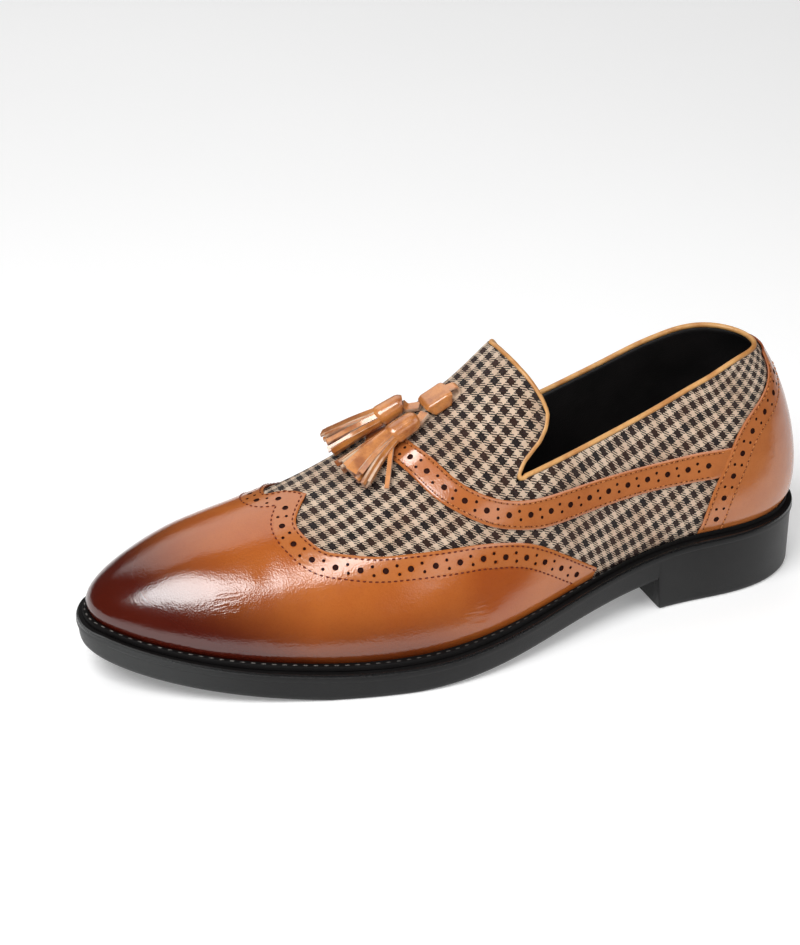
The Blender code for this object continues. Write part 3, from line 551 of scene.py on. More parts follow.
def straight(start, end):
    """A dense plan path between two plan places, closer together at its start."""
    t = np.linspace(0, 1, PATH_POINTS) ** 2
    return start[0] + (end[0] - start[0]) * t, start[1] + (end[1] - start[1]) * t


def column_path(a, side):
    """The plan path from a foot on the feather line to the spine, fanned at both ends."""
    target = np.clip(a, HEEL_PIVOT, TOE_PIVOT)
    return straight((feather(a, side), a), (ridge_x(target), target))


def feather_run(side):
    """Stations along the feather line and the distance from the heel back to each."""
    a = HEEL_END + (TOE_END - HEEL_END) * (1 - np.cos(np.linspace(0, pi, RUN_POINTS))) / 2
    step = np.hypot(np.diff(feather(a, side)), np.diff(a))
    return a, np.concatenate([[0], np.cumsum(step)])


def even_stations(start, end, count):
    """Stations from start to end, evenly spaced along the lateral feather line."""
    a, run = feather_run(1.0)
    return np.interp(np.linspace(np.interp(start, a, run), np.interp(end, a, run), count), run, a)


def outline(inset, grow):
    """Plan lines of the sole's two sides, inset from its rim, from heel back to toe tip."""
    sides = []
    for side in SIDES:
        a, _ = feather_run(side)
        x = feather(a, side)
        tx = np.gradient(x)
        ta = np.gradient(a)
        tx[0], ta[0] = side, 0.0
        tx[-1], ta[-1] = -side, 0.0
        size = np.hypot(tx, ta)
        far = extension(a) * grow - inset
        sides.append((x + side * ta / size * far, a - side * tx / size * far))
    return sides


def plan_shift():
    """The move that centres the sole's outline on the origin."""
    x, a = np.hstack(outline(0.0, 1.0))
    return np.array([-(x.max() + x.min()) / 2, (a.max() + a.min() - LENGTH) / 2, 0.0])


SHIFT = plan_shift()


def smooth_step(low, high, value):
    """0 below low, 1 above high, eased between."""
    t = np.clip((np.asarray(value, float) - low) / (high - low), 0, 1)
    return t * t * (3 - 2 * t)


def unit(vectors):
    """Vectors scaled to a length of one."""
    return vectors / np.maximum(np.linalg.norm(vectors, axis=-1, keepdims=True), 1e-12)


def run_of(points):
    """Distance along a path to each of its points."""
    return np.concatenate([[0], np.cumsum(np.linalg.norm(np.diff(points, axis=0), axis=1))])


def read_off(at, run, rows):
    """Rows of values read off at given distances along a path."""
    return np.column_stack([np.interp(at, run, values) for values in rows.T])


def leaned(a, lean):
    """Plan place at a station and a lean: 0 on the ridge, 90 and -90 on the feather lines."""
    side = np.where(lean >= 0, 1.0, -1.0)
    sine = np.clip(np.sin(np.radians(np.abs(lean))), 0, 1)
    return ridge_x(a) + side * half(a, side) * sine ** (2 / SIDE_POWER)


def lean_of(x, a):
    """The lean of plan places."""
    side, across = across_of(x, a)
    return side * np.degrees(np.arcsin(across ** (SIDE_POWER / 2)))


def form(a, lean, lift=0.0):
    """Points of the lasted form at stations and leans."""
    return surface(leaned(a, lean), a, lift)


def settle(points, a, lean):
    """Stations and leans of the places on the lasted form nearest to points, from a first guess."""
    for _ in range(SETTLE_ROUNDS):
        along = form(a + ALONG_STEP, lean) - form(a - ALONG_STEP, lean)
        along = along / (2 * ALONG_STEP)
        round_it = form(a, lean + LEAN_STEP) - form(a, lean - LEAN_STEP)
        round_it = round_it / (2 * LEAN_STEP)
        gap = points - form(a, lean)
        aa = (along * along).sum(-1)
        ar = (along * round_it).sum(-1)
        rr = (round_it * round_it).sum(-1)
        ga = (gap * along).sum(-1)
        gr = (gap * round_it).sum(-1)
        size = aa * rr - ar * ar
        a = a + np.clip((ga * rr - gr * ar) / size, -MOST_SLIDE, MOST_SLIDE)
        swing = np.clip((gr * aa - ga * ar) / size, -MOST_SWING, MOST_SWING)
        lean = np.clip(lean + swing, -MOST_LEAN, MOST_LEAN)
    return a, lean


def walk(x, a, shares, low=None, top=None):
    """Plan places at shares of the way along a plan path, with the way to its end from each."""
    points = surface(x, a)
    run = run_of(points)
    first = 0.0 if low is None else np.interp(low, points[:, 2] - foot(a), run)
    last = run[-1] if top is None else np.interp(top, points[:, 2], run)
    at = first + (last - first) * np.asarray(shares)
    return np.interp(at, run, x), np.interp(at, run, a), last - at


def tab_path(a, side):
    """A column's plan path in front of the notch, leaning back with the tab's edge above it."""
    corner = TAB_EDGE[0].turn
    below = np.linspace(0, corner, NOTCH_POINT + 1)
    turn = np.concatenate([below, np.linspace(corner, 90, PATH_POINTS)[1:]])
    lean = NOTCH - np.interp(turn, column(TAB_EDGE, "turn"), column(TAB_EDGE, "station", LENGTH))
    blend = np.clip(1 - (a - NOTCH) / TAB_BLEND, 0, 1) ** TAB_BLEND_POWER
    along = a - lean * blend
    return turned(along, turn, side), along


def front_column(a, side):
    """Plan places of one column of the front: rows to the notch's level, then rows to the ridge."""
    if a > TOE_PIVOT:
        shares = np.linspace(0, 1, LOW_ROWS + TAB_ROWS + 1)
        return np.array(walk(*column_path(a, side), shares)[:2])
    x, along = tab_path(a, side)
    low, high = slice(NOTCH_POINT + 1), slice(NOTCH_POINT, None)
    low = np.array(walk(x[low], along[low], np.linspace(0, 1, LOW_ROWS + 1))[:2])
    high = np.array(walk(x[high], along[high], np.linspace(0, 1, TAB_ROWS + 1))[:2])
    return np.hstack([low, high[:, 1:]])


def back_column(a, side):
    """Plan places of one column of the quarters, from the feather line to the topline."""
    if a >= NOTCH - 1e-6:
        return front_column(a, side)[:, :LOW_ROWS + 1]
    shares = np.linspace(0, 1, LOW_ROWS + 1)
    return np.array(walk(*column_path(a, side), shares, top=topline(a))[:2])


def lay(x, a):
    """The cloth's thread place over plan places, in repeats along and across the shoe."""
    pivot = np.maximum(a, HEEL_PIVOT)
    spine = ridge_x(pivot)
    share = np.linspace(0, 1, 25)[:, None]
    points = surface(spine + (x - spine) * share, pivot + (a - pivot) * share)
    down = 10 * np.linalg.norm(np.diff(points, axis=0), axis=-1).sum(axis=0)
    side = np.where(x >= spine, 1.0, -1.0)
    along = 10 * (pivot - HEEL_ROLL * np.arctan2(pivot - a, np.abs(x - spine)) - LAY_START)
    u = sum(row.size * along**row.along * down**row.down for row in LAY_ALONG)
    v = sum(row.size * along**row.along * down**row.down for row in LAY_ACROSS)
    return np.stack([u, side * v, np.zeros_like(u)], -1)


def wing_edge(rows, side):
    """Foot stations of the wing cap's rungs on one side, and the plan places of its edge."""
    a, run = feather_run(side)
    feet = np.interp(column(rows, "foot", LENGTH), a, run)
    station, turn = column(rows, "station", LENGTH), column(rows, "turn")
    x = turned(station, turn, side)
    x[-1] = turned(station[-1], turn[-1], 1.0)
    edge = surface(x, station)
    close = np.where(column(rows, "foot")[1:] > TIP_FROM, TIP_SHARE, 1.0)
    step = EDGE_SHARE * np.linalg.norm(np.diff(edge, axis=0), axis=1)
    step = step + close * np.abs(np.diff(feet))
    along = np.concatenate([[0], np.cumsum(step)])
    at = np.linspace(0, along[-1], WING_COLUMNS)
    feet = np.interp(spline(along, feet)(at), run, a)
    stations = spline(along, station)(at)
    turns = spline(along[:-4], turn[:-4])(at)
    sideways = spline(along[-7:], x[-7:])(at)
    return feet, np.where(at < along[-6], turned(stations, turns, side), sideways), stations


def band_edges():
    """Stations and turns of the side band's two edges, from the ridge back under the counter."""
    at = np.linspace(0, 1, len(BANDS))
    fine = np.linspace(0, 1, BAND_COLUMNS)
    names = ("top_station", "top_turn", "low_station", "low_turn")
    top_a, top_turn, low_a, low_turn = [spline(at, column(BANDS, name))(fine) for name in names]
    return top_a * LENGTH, top_turn, low_a * LENGTH, low_turn


def counter_places(shares, heights, side):
    """Plan places of the counter at shares of the way to its front edge, and heights."""
    reach = spline(column(COUNTERS, "height"), column(COUNTERS, "station", LENGTH))(heights)
    a, run = feather_run(side)
    feet = np.interp(np.outer(shares, np.interp(reach, a, run)), run, a)
    spine = np.clip(feet, HEEL_PIVOT, TOE_PIVOT)
    t = (np.linspace(0, 1, PATH_POINTS) ** 2)[:, None, None]
    x = feather(feet, side) + (ridge_x(spine) - feather(feet, side)) * t
    along = feet + (spine - feet) * t
    up = surface(x, along)[..., 2] - foot(along)
    after = np.clip((up < heights).sum(axis=0), 1, PATH_POINTS - 1)[None]
    low, high = [np.take_along_axis(up, at, 0) for at in (after - 1, after)]
    share = np.clip((heights - low) / (high - low), 0, 1)
    places = []
    for values in (x, along):
        first, second = [np.take_along_axis(values, at, 0) for at in (after - 1, after)]
        places.append((first + (second - first) * share)[0])
    return places


def edge_offset(points, normals, flip):
    """The piping's middle line: off the open edge, and in to the middle of the wall."""
    out = unit(np.cross(np.gradient(points, axis=0), normals) * flip)
    return points + out * (PIPING_RADIUS + PIPING_GAP) - normals * WALL / 2


def resample(points, spacing):
    """The same open path with points evenly spaced."""
    run = run_of(points)
    count = max(2, int(round(run[-1] / spacing)) + 1)
    return read_off(np.linspace(0, run[-1], count), run, points)


def piping_path(spacing):
    """The piping's closed middle line: the topline, the tab's edge and a turn in each notch."""
    loop = []
    for side in SIDES:
        path = []
        for a in even_stations(HEEL_END, NOTCH, 60):
            x, along, _ = walk(*column_path(a, side), [1.0], top=topline(a))
            path.append((x[0], along[0]))
        x, a = np.array(path).T
        low = edge_offset(surface(x, a), outward(x, a), side)
        turn = np.linspace(TAB_EDGE[0].turn, 90, 200)
        a = np.interp(turn, column(TAB_EDGE, "turn"), column(TAB_EDGE, "station", LENGTH))
        x, a = resample(np.column_stack([turned(a, turn, side), a]), 0.001).T
        high = edge_offset(surface(x, a), outward(x, a), side)
        near = np.linalg.norm(low[:, None] - high[None], axis=2)
        apart = near.min(axis=1) >= 2 * PIPING_RADIUS + PIPING_TURN
        i = int(np.flatnonzero(apart)[-1])
        j = int(np.argmin(near[i]))
        middle = (low[i] + high[j]) / 2
        out = (low[i] - high[j]) / 2
        forward = low[i] - low[i - 3]
        forward = forward - out * forward.dot(out) / out.dot(out)
        forward = unit(forward) * np.linalg.norm(out)
        half_turn = np.linspace(0, pi, 10)[1:-1, None]
        bend = middle + out * np.cos(half_turn) + forward * np.sin(half_turn)
        loop.append(np.vstack([resample(low[:i + 1], spacing), bend, resample(high[j:], spacing)]))
    return np.vstack([loop[0], loop[1][::-1][1:-1]])


def sole_stations(count):
    """Stations even along the rim, with the heel breast's and the ends of the ball's flat."""
    even = even_stations(HEEL_END, TOE_END, count)
    even = (even - HEEL_END) / (TOE_END - HEEL_END) * LENGTH
    corner = BREAST - BREAST_ROUND * np.array(BREAST_CUTS)
    breast = [BREAST - BREAST_SLOPE / 2, BREAST + BREAST_SLOPE / 2]

    def clear(s):
        flat = min(abs(s - end) for end in BALL_FLAT) > 0.0005
        return flat and abs(s - BREAST) > 0.001 and not corner[0] - 0.0004 < s < BREAST

    return np.array(sorted([*filter(clear, even), *corner, *breast, *BALL_FLAT]))


def tread(a):
    """Height of the sole's underside: the heel and the ball stand on the floor."""
    low = np.maximum(tread_curve(a), 0.0)
    low = np.where((a >= BALL_FLAT[0] - 1e-6) & (a <= BALL_FLAT[1] + 1e-6), 0.0, low)
    near = np.clip((a - BREAST) / BREAST_ROUND + 1, 0, 1)
    return np.where(a < BREAST, BREAST_ROUND * (1 - np.sqrt(1 - near**2)), low)


def plan_ring(stations, inset, height, grow=1.0):
    """One ring of the sole: outer and inner rows at given stations, drawn in at its two ends."""
    sides = outline(inset, grow)
    heel = sides[0][1][0]
    toe = sides[0][1][-1]
    at = (stations + heel * np.exp(-stations / RING_FADE)
          - (LENGTH - toe) * np.exp((stations - LENGTH) / RING_FADE))
    rows = []
    for x, a in sides:
        order = np.argsort(a, kind="stable")
        across = np.interp(at, a[order], x[order])
        rows.append(np.stack([across, LENGTH / 2 - at, height(stations, at)], -1))
    middle = [(rows[0][i, 0] + rows[1][i, 0]) / 2 for i in (0, -1)]
    for row in rows:
        row[0, 0], row[-1, 0] = middle
    return rows


def frames(rows, gap, count=None):
    """Middle, sideways, upward and forward directions along a piece that lies on the upper."""
    a = column(rows, "station", LENGTH)
    x = column(rows, "side", BALL_WIDTH)
    height = column(rows, "height")
    if count:
        at = np.linspace(0, 1, count)
        knots = (a - a[0]) / (a[-1] - a[0])
        a, x, height = [np.interp(at, knots, values) for values in (a, x, height)]
    normal = outward(x, a)
    middle = surface(x, a) + normal * (height + gap)[:, None]
    forward = unit(np.gradient(middle, axis=0))
    sideways = unit(np.cross(forward, normal))
    return middle, sideways, np.cross(sideways, forward), forward


def add_piece(name, points, faces, materials, indices=None):
    """A smooth mesh object from points in the shoe's own frame, moved to the centred frame."""
    mesh = bpy.data.meshes.new(name)
    moved = np.asarray(points, float) + SHIFT
    mesh.from_pydata(moved.tolist(), [], [list(face) for face in faces])
    for material in materials:
        mesh.materials.append(material)
    mesh.polygons.foreach_set("use_smooth", [True] * len(mesh.polygons))
    if indices is not None:
        mesh.polygons.foreach_set("material_index", indices)
    piece = bpy.data.objects.new(name, mesh)
    bpy.context.scene.collection.objects.link(piece)
    return piece


def grid_faces(columns, rows, start=0):
    """Faces of a grid of points in columns."""
    faces = []
    for left in range(start, start + (columns - 1) * rows, rows):
        right = left + rows
        for j in range(rows - 1):
            faces.append((left + j, left + j + 1, right + j + 1, right + j))
    return faces


def tidy_mesh(piece, merge, recalc=False):
    """Joins points that coincide, and turns a closed mesh's faces outward where asked."""
    made = bmesh.new()
    made.from_mesh(piece.data)
    bmesh.ops.remove_doubles(made, verts=made.verts, dist=merge)
    bmesh.ops.dissolve_degenerate(made, edges=made.edges, dist=1e-6)
    if recalc:
        bmesh.ops.recalc_face_normals(made, faces=made.faces)
    made.to_mesh(piece.data)
    made.free()


def add_solid(name, points, faces, materials, slots, merge, recalc, sharp):
    """A closed piece with doubled points joined, its edges sharp beyond an angle in degrees."""
    piece = add_piece(name, points, faces, materials, slots)
    tidy_mesh(piece, merge, recalc)
    piece.data.set_sharp_from_angle(angle=radians(sharp))
    return piece


def bake_modifiers(piece):
    """Makes what the modifiers give the piece's plain mesh."""
    graph = bpy.context.evaluated_depsgraph_get()
    mesh = bpy.data.meshes.new_from_object(
        piece.evaluated_get(graph), preserve_all_data_layers=True, depsgraph=graph)
    old = piece.data
    piece.modifiers.clear()
    piece.data = mesh
    mesh.name = piece.name
    bpy.data.meshes.remove(old)


def thicken(piece, thickness, inner_slot, rim_slot):
    """Gives an open sheet a wall inward, its inner side and rim in their own material slots."""
    wall = piece.modifiers.new("wall", "SOLIDIFY")
    wall.thickness = thickness
    wall.offset = -1.0
    wall.use_even_offset = False
    wall.material_offset = inner_slot
    wall.material_offset_rim = rim_slot
    bake_modifiers(piece)


def add_places(piece, name, values):
    """A vector for each point of a piece, for its material or a node tree to read."""
    layer = piece.data.attributes.new(name, "FLOAT_VECTOR", "POINT")
    layer.data.foreach_set("vector", np.asarray(values, np.float32).ravel())


def loft(rings):
    """Points and faces of a tube through rings, with a fan over each end."""
    count = len(rings[0])
    last = (len(rings) - 1) * count
    tip = last + count
    faces = []
    for k in range(0, last, count):
        for i in range(count):
            j = (i + 1) % count
            faces.append((k + i, k + j, k + count + j, k + count + i))
    for i in range(count):
        j = (i + 1) % count
        faces.append((tip, j, i))
        faces.append((tip + 1, last + i, last + j))
    return np.vstack([*rings, rings[0].mean(axis=0), rings[-1].mean(axis=0)]), faces


def join_forms(forms):
    """One set of points, faces and material indices from several."""
    points, faces, indices = [], [], []
    start = 0
    for form_points, form_faces, slots in forms:
        points.append(form_points)
        faces.extend(tuple(i + start for i in face) for face in form_faces)
        indices.extend([slots] * len(form_faces) if isinstance(slots, int) else slots)
        start += len(form_points)
    return np.vstack(points), faces, indices


def add_node(tree, kind, settings, sockets):
    """A node of a tree: its settings first, then its sockets' values or links by name or number."""
    node = tree.nodes.new(kind)
    for key, value in settings.items():
        setattr(node, key, value)
    for key, value in sockets.items():
        socket = node.inputs[key]
        if isinstance(value, Wire):
            value = value.socket
        if isinstance(value, bpy.types.NodeSocket):
            tree.links.new(value, socket)
        elif socket.type == "RGBA" and len(value) == 3:
            socket.default_value = (*value, 1.0)
        else:
            socket.default_value = value
    return node


def math_method(operation, swapped=False):
    """A method that adds one Math node, the value it is called on first unless swapped."""
    def method(self, *others):
        values = (*others, self) if swapped else (self, *others)
        sockets = dict(enumerate(values))
        node = add_node(self.tree, "ShaderNodeMath", {"operation": operation}, sockets)
        return Wire(self.tree, node.outputs[0])

    return method


class Wire:
    """A shader value: its operators add Math nodes to the tree it comes from."""

    __add__ = __radd__ = math_method("ADD")
    __sub__ = math_method("SUBTRACT")
    __rsub__ = math_method("SUBTRACT", swapped=True)
    __mul__ = __rmul__ = math_method("MULTIPLY")
    __mod__ = math_method("FLOORED_MODULO")
    __pow__ = math_method("POWER")
    __lt__ = math_method("LESS_THAN")
    floor = math_method("FLOOR")
    fract = math_method("FRACT")
    sine = math_method("SINE")
    most = math_method("MAXIMUM")

    def __init__(self, tree, socket):
        self.tree = tree
        self.socket = socket

    def ramp(self, low, high):
        """0 at low, 1 at high, eased between."""
        sockets = {"Value": self, "From Min": low, "From Max": high}
        eased = {"interpolation_type": "SMOOTHSTEP"}
        node = add_node(self.tree, "ShaderNodeMapRange", eased, sockets)
        return Wire(self.tree, node.outputs["Result"])


class Finish:
    """A material with one Principled shader, whose own sockets hold what is the same all over."""

    def __init__(self, name, **constants):
        self.material = bpy.data.materials.new(name)
        self.material.use_nodes = True
        self.tree = self.material.node_tree
        self.shader = self.tree.nodes["Principled BSDF"]
        for key, value in constants.items():
            label = key.replace("_", " ").title().replace("Ior", "IOR")
            self.shader.inputs[label].default_value = value

    def node(self, kind, sockets, output=0, **settings):
        return Wire(self.tree, add_node(self.tree, kind, settings, sockets).outputs[output])

    def place(self):
        return self.node("ShaderNodeTexCoord", {}, "Object")

    def attribute(self, name):
        return self.node("ShaderNodeAttribute", {}, "Vector", attribute_name=name)

    def parts(self, vector):
        node = add_node(self.tree, "ShaderNodeSeparateXYZ", {}, {0: vector})
        return [Wire(self.tree, socket) for socket in node.outputs]

    def noise(self, vector, scale, detail=3.0, roughness=0.5, output=0):
        sockets = {"Vector": vector, "Scale": scale, "Detail": detail, "Roughness": roughness}
        return self.node("ShaderNodeTexNoise", sockets, output)

    def stretch(self, vector, scale):
        return self.node("ShaderNodeMapping", {"Vector": vector, "Scale": scale})

    def shift(self, vector, by, share):
        """A vector moved by a share of another."""
        sockets = {0: by, 1: share, 2: vector}
        return self.node("ShaderNodeVectorMath", sockets, operation="MULTIPLY_ADD")

    def far(self, vector, place):
        """Distance of a vector from a place."""
        sockets = {0: vector, 1: place}
        return self.node("ShaderNodeVectorMath", sockets, "Value", operation="DISTANCE")

    def cells(self, vector, scale):
        return self.node("ShaderNodeTexVoronoi", {"Vector": vector, "Scale": scale}, "Distance")

    def mix(self, share, first, second):
        sockets = {0: share, 6: first, 7: second}
        return self.node("ShaderNodeMix", sockets, 2, data_type="RGBA", clamp_factor=True)

    def bump(self, height, strength, distance):
        sockets = {"Height": height, "Strength": strength, "Distance": distance}
        return self.node("ShaderNodeBump", sockets)

    def feed(self, **sockets):
        """Links what varies over the surface to the shader, and gives the finished material."""
        for key, value in sockets.items():
            self.tree.links.new(value.socket, self.shader.inputs[key.replace("_", " ")])
        return self.material


class Plan:
    """A geometry node tree with named inputs, grown on a cloud of points and made a plain mesh."""

    def __init__(self, name, inputs):
        self.tree = bpy.data.node_groups.new(name, "GeometryNodeTree")
        face = self.tree.interface
        face.new_socket("Geometry", in_out="INPUT", socket_type="NodeSocketGeometry")
        self.keys = {}
        for label, kind in inputs.items():
            self.keys[label] = face.new_socket(label, in_out="INPUT", socket_type=kind).identifier
        face.new_socket("Geometry", in_out="OUTPUT", socket_type="NodeSocketGeometry")
        self.inputs = self.tree.nodes.new("NodeGroupInput").outputs
        self.result = self.tree.nodes.new("NodeGroupOutput").inputs[0]

    def node(self, kind, sockets, output=0, **settings):
        return add_node(self.tree, kind, settings, sockets).outputs[output]

    def attribute(self, name):
        sockets = {"Name": name}
        return self.node("GeometryNodeInputNamedAttribute", sockets, data_type="FLOAT_VECTOR")

    def lay_out(self, points, instance):
        """An instance on each point at its size, Z along the point's out and X along its along."""
        axes = {"Primary Axis": self.attribute("out"), "Secondary Axis": self.attribute("along")}
        turn = self.node("FunctionNodeAxesToRotation", axes, primary_axis="Z", secondary_axis="X")
        size = self.attribute("size")
        sockets = {"Points": points, "Instance": instance, "Rotation": turn, "Scale": size}
        return self.node("GeometryNodeInstanceOnPoints", sockets)

    def finish(self, geometry, material):
        real = self.node("GeometryNodeRealizeInstances", {"Geometry": geometry})
        smooth = self.node("GeometryNodeSetShadeSmooth", {"Geometry": real})
        if material is not None:
            sockets = {"Geometry": smooth, "Material": material}
            smooth = self.node("GeometryNodeSetMaterial", sockets)
        self.tree.links.new(smooth, self.result)

    def grow(self, piece, values):
        """Runs the tree on a piece with its inputs set, and keeps the result as its mesh."""
        modifier = piece.modifiers.new(self.tree.name, "NODES")
        modifier.node_group = self.tree
        for label, value in values.items():
            modifier[self.keys[label]] = value
        bake_modifiers(piece)


def point_cloud(name, spots):
    """Loose points with the directions that an instance on each follows, and its size."""
    cloud = add_piece(name, spots.place, [], [])
    for label in ("along", "out", "size"):
        add_places(cloud, label, getattr(spots, label))
    return cloud


Spots = namedtuple("Spots", "place along out size")


def join_spots(parts):
    """Several sets of spots as one."""
    return Spots(*(np.vstack([getattr(part, name) for part in parts]) for name in Spots._fields))


def spots_on(a, lean, at, lift, size, across=0.0):
    """Places at given distances along a row on the lasted form, moved sideways where asked."""
    points = form(a, lean)
    run = run_of(points)
    station = np.interp(at, run, a)
    tilt = np.interp(at, run, lean)
    along = unit(read_off(at, run, np.gradient(points, axis=0)))
    out = outward(leaned(station, tilt), station)
    if across:
        station, tilt = settle(form(station, tilt) + np.cross(out, along) * across, station, tilt)
        out = outward(leaned(station, tilt), station)
    return Spots(form(station, tilt, lift), along, out, np.tile(size, (len(station), 1)))


def inset_row(x, a, far, flip):
    """The row that runs a distance in from an edge given by plan places."""
    edge = surface(x, a)
    inward = unit(np.cross(outward(x, a), np.gradient(edge, axis=0))) * flip
    return settle(edge + inward * far, a, lean_of(x, a))


def stitch_row(a, lean, pitch, size, start):
    """Stitches at an even pitch along a row, the first a share of the pitch from its start."""
    total = run_of(form(a, lean))[-1]
    count = max(1, int(total / pitch))
    at = (np.arange(count) + start) * total / count
    return spots_on(a, lean, at, OVERLAY_TOP + STITCH_LIFT, size)


def hole_row(a, lean, sizes, lift):
    """Large holes at an even pitch, with a pair of small ones between each two."""
    total = run_of(form(a, lean))[-1]
    count = max(1, int(total / sizes.hole_pitch))
    pitch = total / count
    large = (np.arange(count) + 0.5) * pitch
    small = np.arange(1, count) * pitch
    rows = [spots_on(a, lean, large, lift, (sizes.large_hole, sizes.large_hole, 1.0))]
    size = (sizes.small_hole, sizes.small_hole, 1.0)
    for way in SIDES:
        across = way * sizes.pair_spread / 2
        rows.append(spots_on(a, lean, small - way * PAIR_SLANT, lift, size, across))
    return join_spots(rows)


def cloth_finish(colours):
    """Shepherd's check tweed in a two and two twill, its dark rows black and brown in turn."""
    finish = Finish("check_cloth", sheen_weight=0.08, sheen_roughness=0.5, specular_ior_level=0.2)
    place = finish.place()
    fuzz = finish.noise(place, 900.0, 2.0, output="Color")
    wander = finish.shift(finish.attribute("lay"), fuzz, (0.05, 0.05, 0.0))
    u, v, _ = finish.parts(wander)
    warp = (u * THREADS).floor()
    weft = (v * THREADS).floor()
    warp_dark = (warp % THREADS) < DARK_THREADS
    weft_dark = (weft % THREADS) < DARK_THREADS
    over = ((warp + weft) % 4.0) < 2.0
    dark = over * warp_dark + (1.0 - over) * weft_dark
    brown = over * ((u.floor() % 2.0) < 1.0) + (1.0 - over) * ((v.floor() % 2.0) < 1.0)
    cloud = finish.noise(place, 70.0, 4.0, 0.6)
    speck = finish.noise(place, 2200.0, 2.0, 0.6)
    tooth = finish.mix(brown, colours.black_yarn, colours.brown_yarn)
    light = finish.mix(cloud.ramp(*CLOUDY), colours.cream_yarn, colours.beige_yarn)
    base = finish.mix(dark, light, tooth)
    base = finish.mix(speck.ramp(0.4, 0.8) * 0.14, base, colours.fibre)
    across = over * (u * THREADS).fract() + (1.0 - over) * (v * THREADS).fract()
    ridge_up = 1.0 - (across * 2.0 - 1.0) ** 2.0
    height = ridge_up * 0.7 + speck * 0.5 + over * 0.15
    normal = finish.bump(height, 0.75, 0.0004)
    return finish.feed(Base_Color=base, Roughness=0.78 + speck * 0.2, Normal=normal)


def leather_finish(name, tan, chestnut, burnish, strip):
    """Polished calf, tan at the back and burnished to a dark red brown over the toe, with painted
    shade low on the forepart's sides and round spots at the back of the wing cap.
    """
    finish = Finish(name, ior=1.7)
    place = finish.place()
    _, y, z = finish.parts(place)
    cloud = finish.noise(place, 32.0, 5.0, 0.6)
    patch = finish.noise(place, 110.0, 4.0, 0.6)
    pore = finish.cells(place, 1500.0)
    toe = (y + (z - 0.036) * 1.6 + (cloud - 0.5) * 0.016).ramp(-0.055, -0.125)
    # Partly burnish and partly painted shade: the forepart's lower sides darker near the sole
    low = (z + (cloud - 0.5) * 0.012).ramp(0.040, 0.016) * y.ramp(0.01, -0.04)
    base = finish.mix(cloud.ramp(0.30, 0.74) * 0.6, tan, chestnut)
    edging, _, _ = finish.parts(finish.attribute("edging"))
    base = finish.mix(patch.ramp(0.45, 0.75) * 0.22, base, chestnut)
    # Painted shade: the leather darkened round these places at the back of the wing cap
    for spot in PAINTED_SHADE_SPOTS:
        near = finish.far(place, Vector(spot) + Vector(SHIFT)).ramp(*PAINTED_SHADE_REACH)
        base = finish.mix(near * 0.85, base, chestnut)
    base = finish.mix(edging.ramp(0.2, 0.8) * 0.75, base, strip)
    base = finish.mix(toe.most(low * 0.72), base, burnish)
    base = finish.mix(pore.ramp(0.55, 0.85) * 0.07, base, burnish)
    scratch = finish.noise(finish.stretch(place, (30.0, 420.0, 420.0)), 2.2, 3.0, 0.6)
    rough = 0.12 + patch * 0.08 + scratch.ramp(0.55, 0.75) * 0.06
    crease = finish.noise(finish.stretch(place, (420.0, 70.0, 420.0)), 1.0, 4.0, 0.55)
    swell_up = finish.noise(finish.stretch(place, (110.0, 45.0, 110.0)), 1.0, 2.0, 0.5)
    height = pore * 0.4 + crease * 0.5 + finish.noise(place, 900.0, 2.0) * 0.3 + swell_up * 3.0
    fold = finish.noise(finish.stretch(place, (760.0, 66.0, 760.0)), 1.0, 2.0, 0.5)
    for wrinkle in WRINKLES:
        away = finish.far(place, Vector(wrinkle.place) + Vector(SHIFT))
        near = away.ramp(wrinkle.reach, wrinkle.reach * 0.3)
        height = height + near * fold.ramp(0.36, 0.64) * 0.9
    normal = finish.bump(height, 0.2, 0.0004)
    return finish.feed(Base_Color=base, Roughness=rough, Normal=normal)


def edge_finish(colours):
    """The cut edge of the leather: paler, matt and fibrous."""
    finish = Finish("cut_edge", specular_ior_level=0.3)
    place = finish.place()
    fibre = finish.noise(place, 1400.0, 3.0, 0.65)
    base = finish.mix(fibre.ramp(*CLOUDY), colours.cut_edge, colours.chestnut)
    normal = finish.bump(fibre, 0.4, 0.0003)
    return finish.feed(Base_Color=base, Roughness=0.6 + fibre * 0.2, Normal=normal)


def painted_shade_finish(name, colour, shade):
    """Painted shade: a dark colour put at the bottoms of holes and in hollows, where shade falls.
    """
    finish = Finish(name, specular_ior_level=0.2)
    fibre = finish.noise(finish.place(), 1800.0, 3.0)
    base = finish.mix(fibre * 0.3, colour, shade)
    return finish.feed(Base_Color=base, Roughness=0.8 + fibre * 0.2)


def piping_finish(colours):
    """Yellow tan bound leather, drawn tight round its cord with fine cross wrinkles."""
    finish = Finish("piping_leather", coat_weight=0.2, coat_roughness=0.2)
    place = finish.place()
    cloud = finish.noise(place, 120.0, 4.0, 0.6)
    wrinkle = finish.noise(place, 620.0, 4.0, 0.6)
    base = finish.mix(cloud.ramp(0.38, 0.7), colours.piping, colours.piping_shade)
    base = finish.mix(wrinkle.ramp(0.55, 0.8) * 0.35, base, colours.chestnut)
    normal = finish.bump(wrinkle, 0.3, 0.0005)
    return finish.feed(Base_Color=base, Roughness=0.34 + wrinkle * 0.2, Normal=normal)


def tassel_finish(colours):
    """Glossy light tan strap leather."""
    finish = Finish("tassel_leather", coat_weight=1.0, coat_roughness=0.12, coat_ior=1.6)
    place = finish.place()
    cloud = finish.noise(place, 95.0, 4.0, 0.6)
    pore = finish.cells(place, 1700.0)
    base = finish.mix(cloud.ramp(0.36, 0.7), colours.tassel, colours.tassel_shade)
    base = finish.mix(pore.ramp(0.5, 0.85) * 0.2, base, colours.chestnut)
    crease = finish.noise(place, 420.0, 4.0, 0.6)
    normal = finish.bump(pore * 0.4 + crease * 0.6, 0.2, 0.0004)
    return finish.feed(Base_Color=base, Roughness=0.3 + crease * 0.18, Normal=normal)


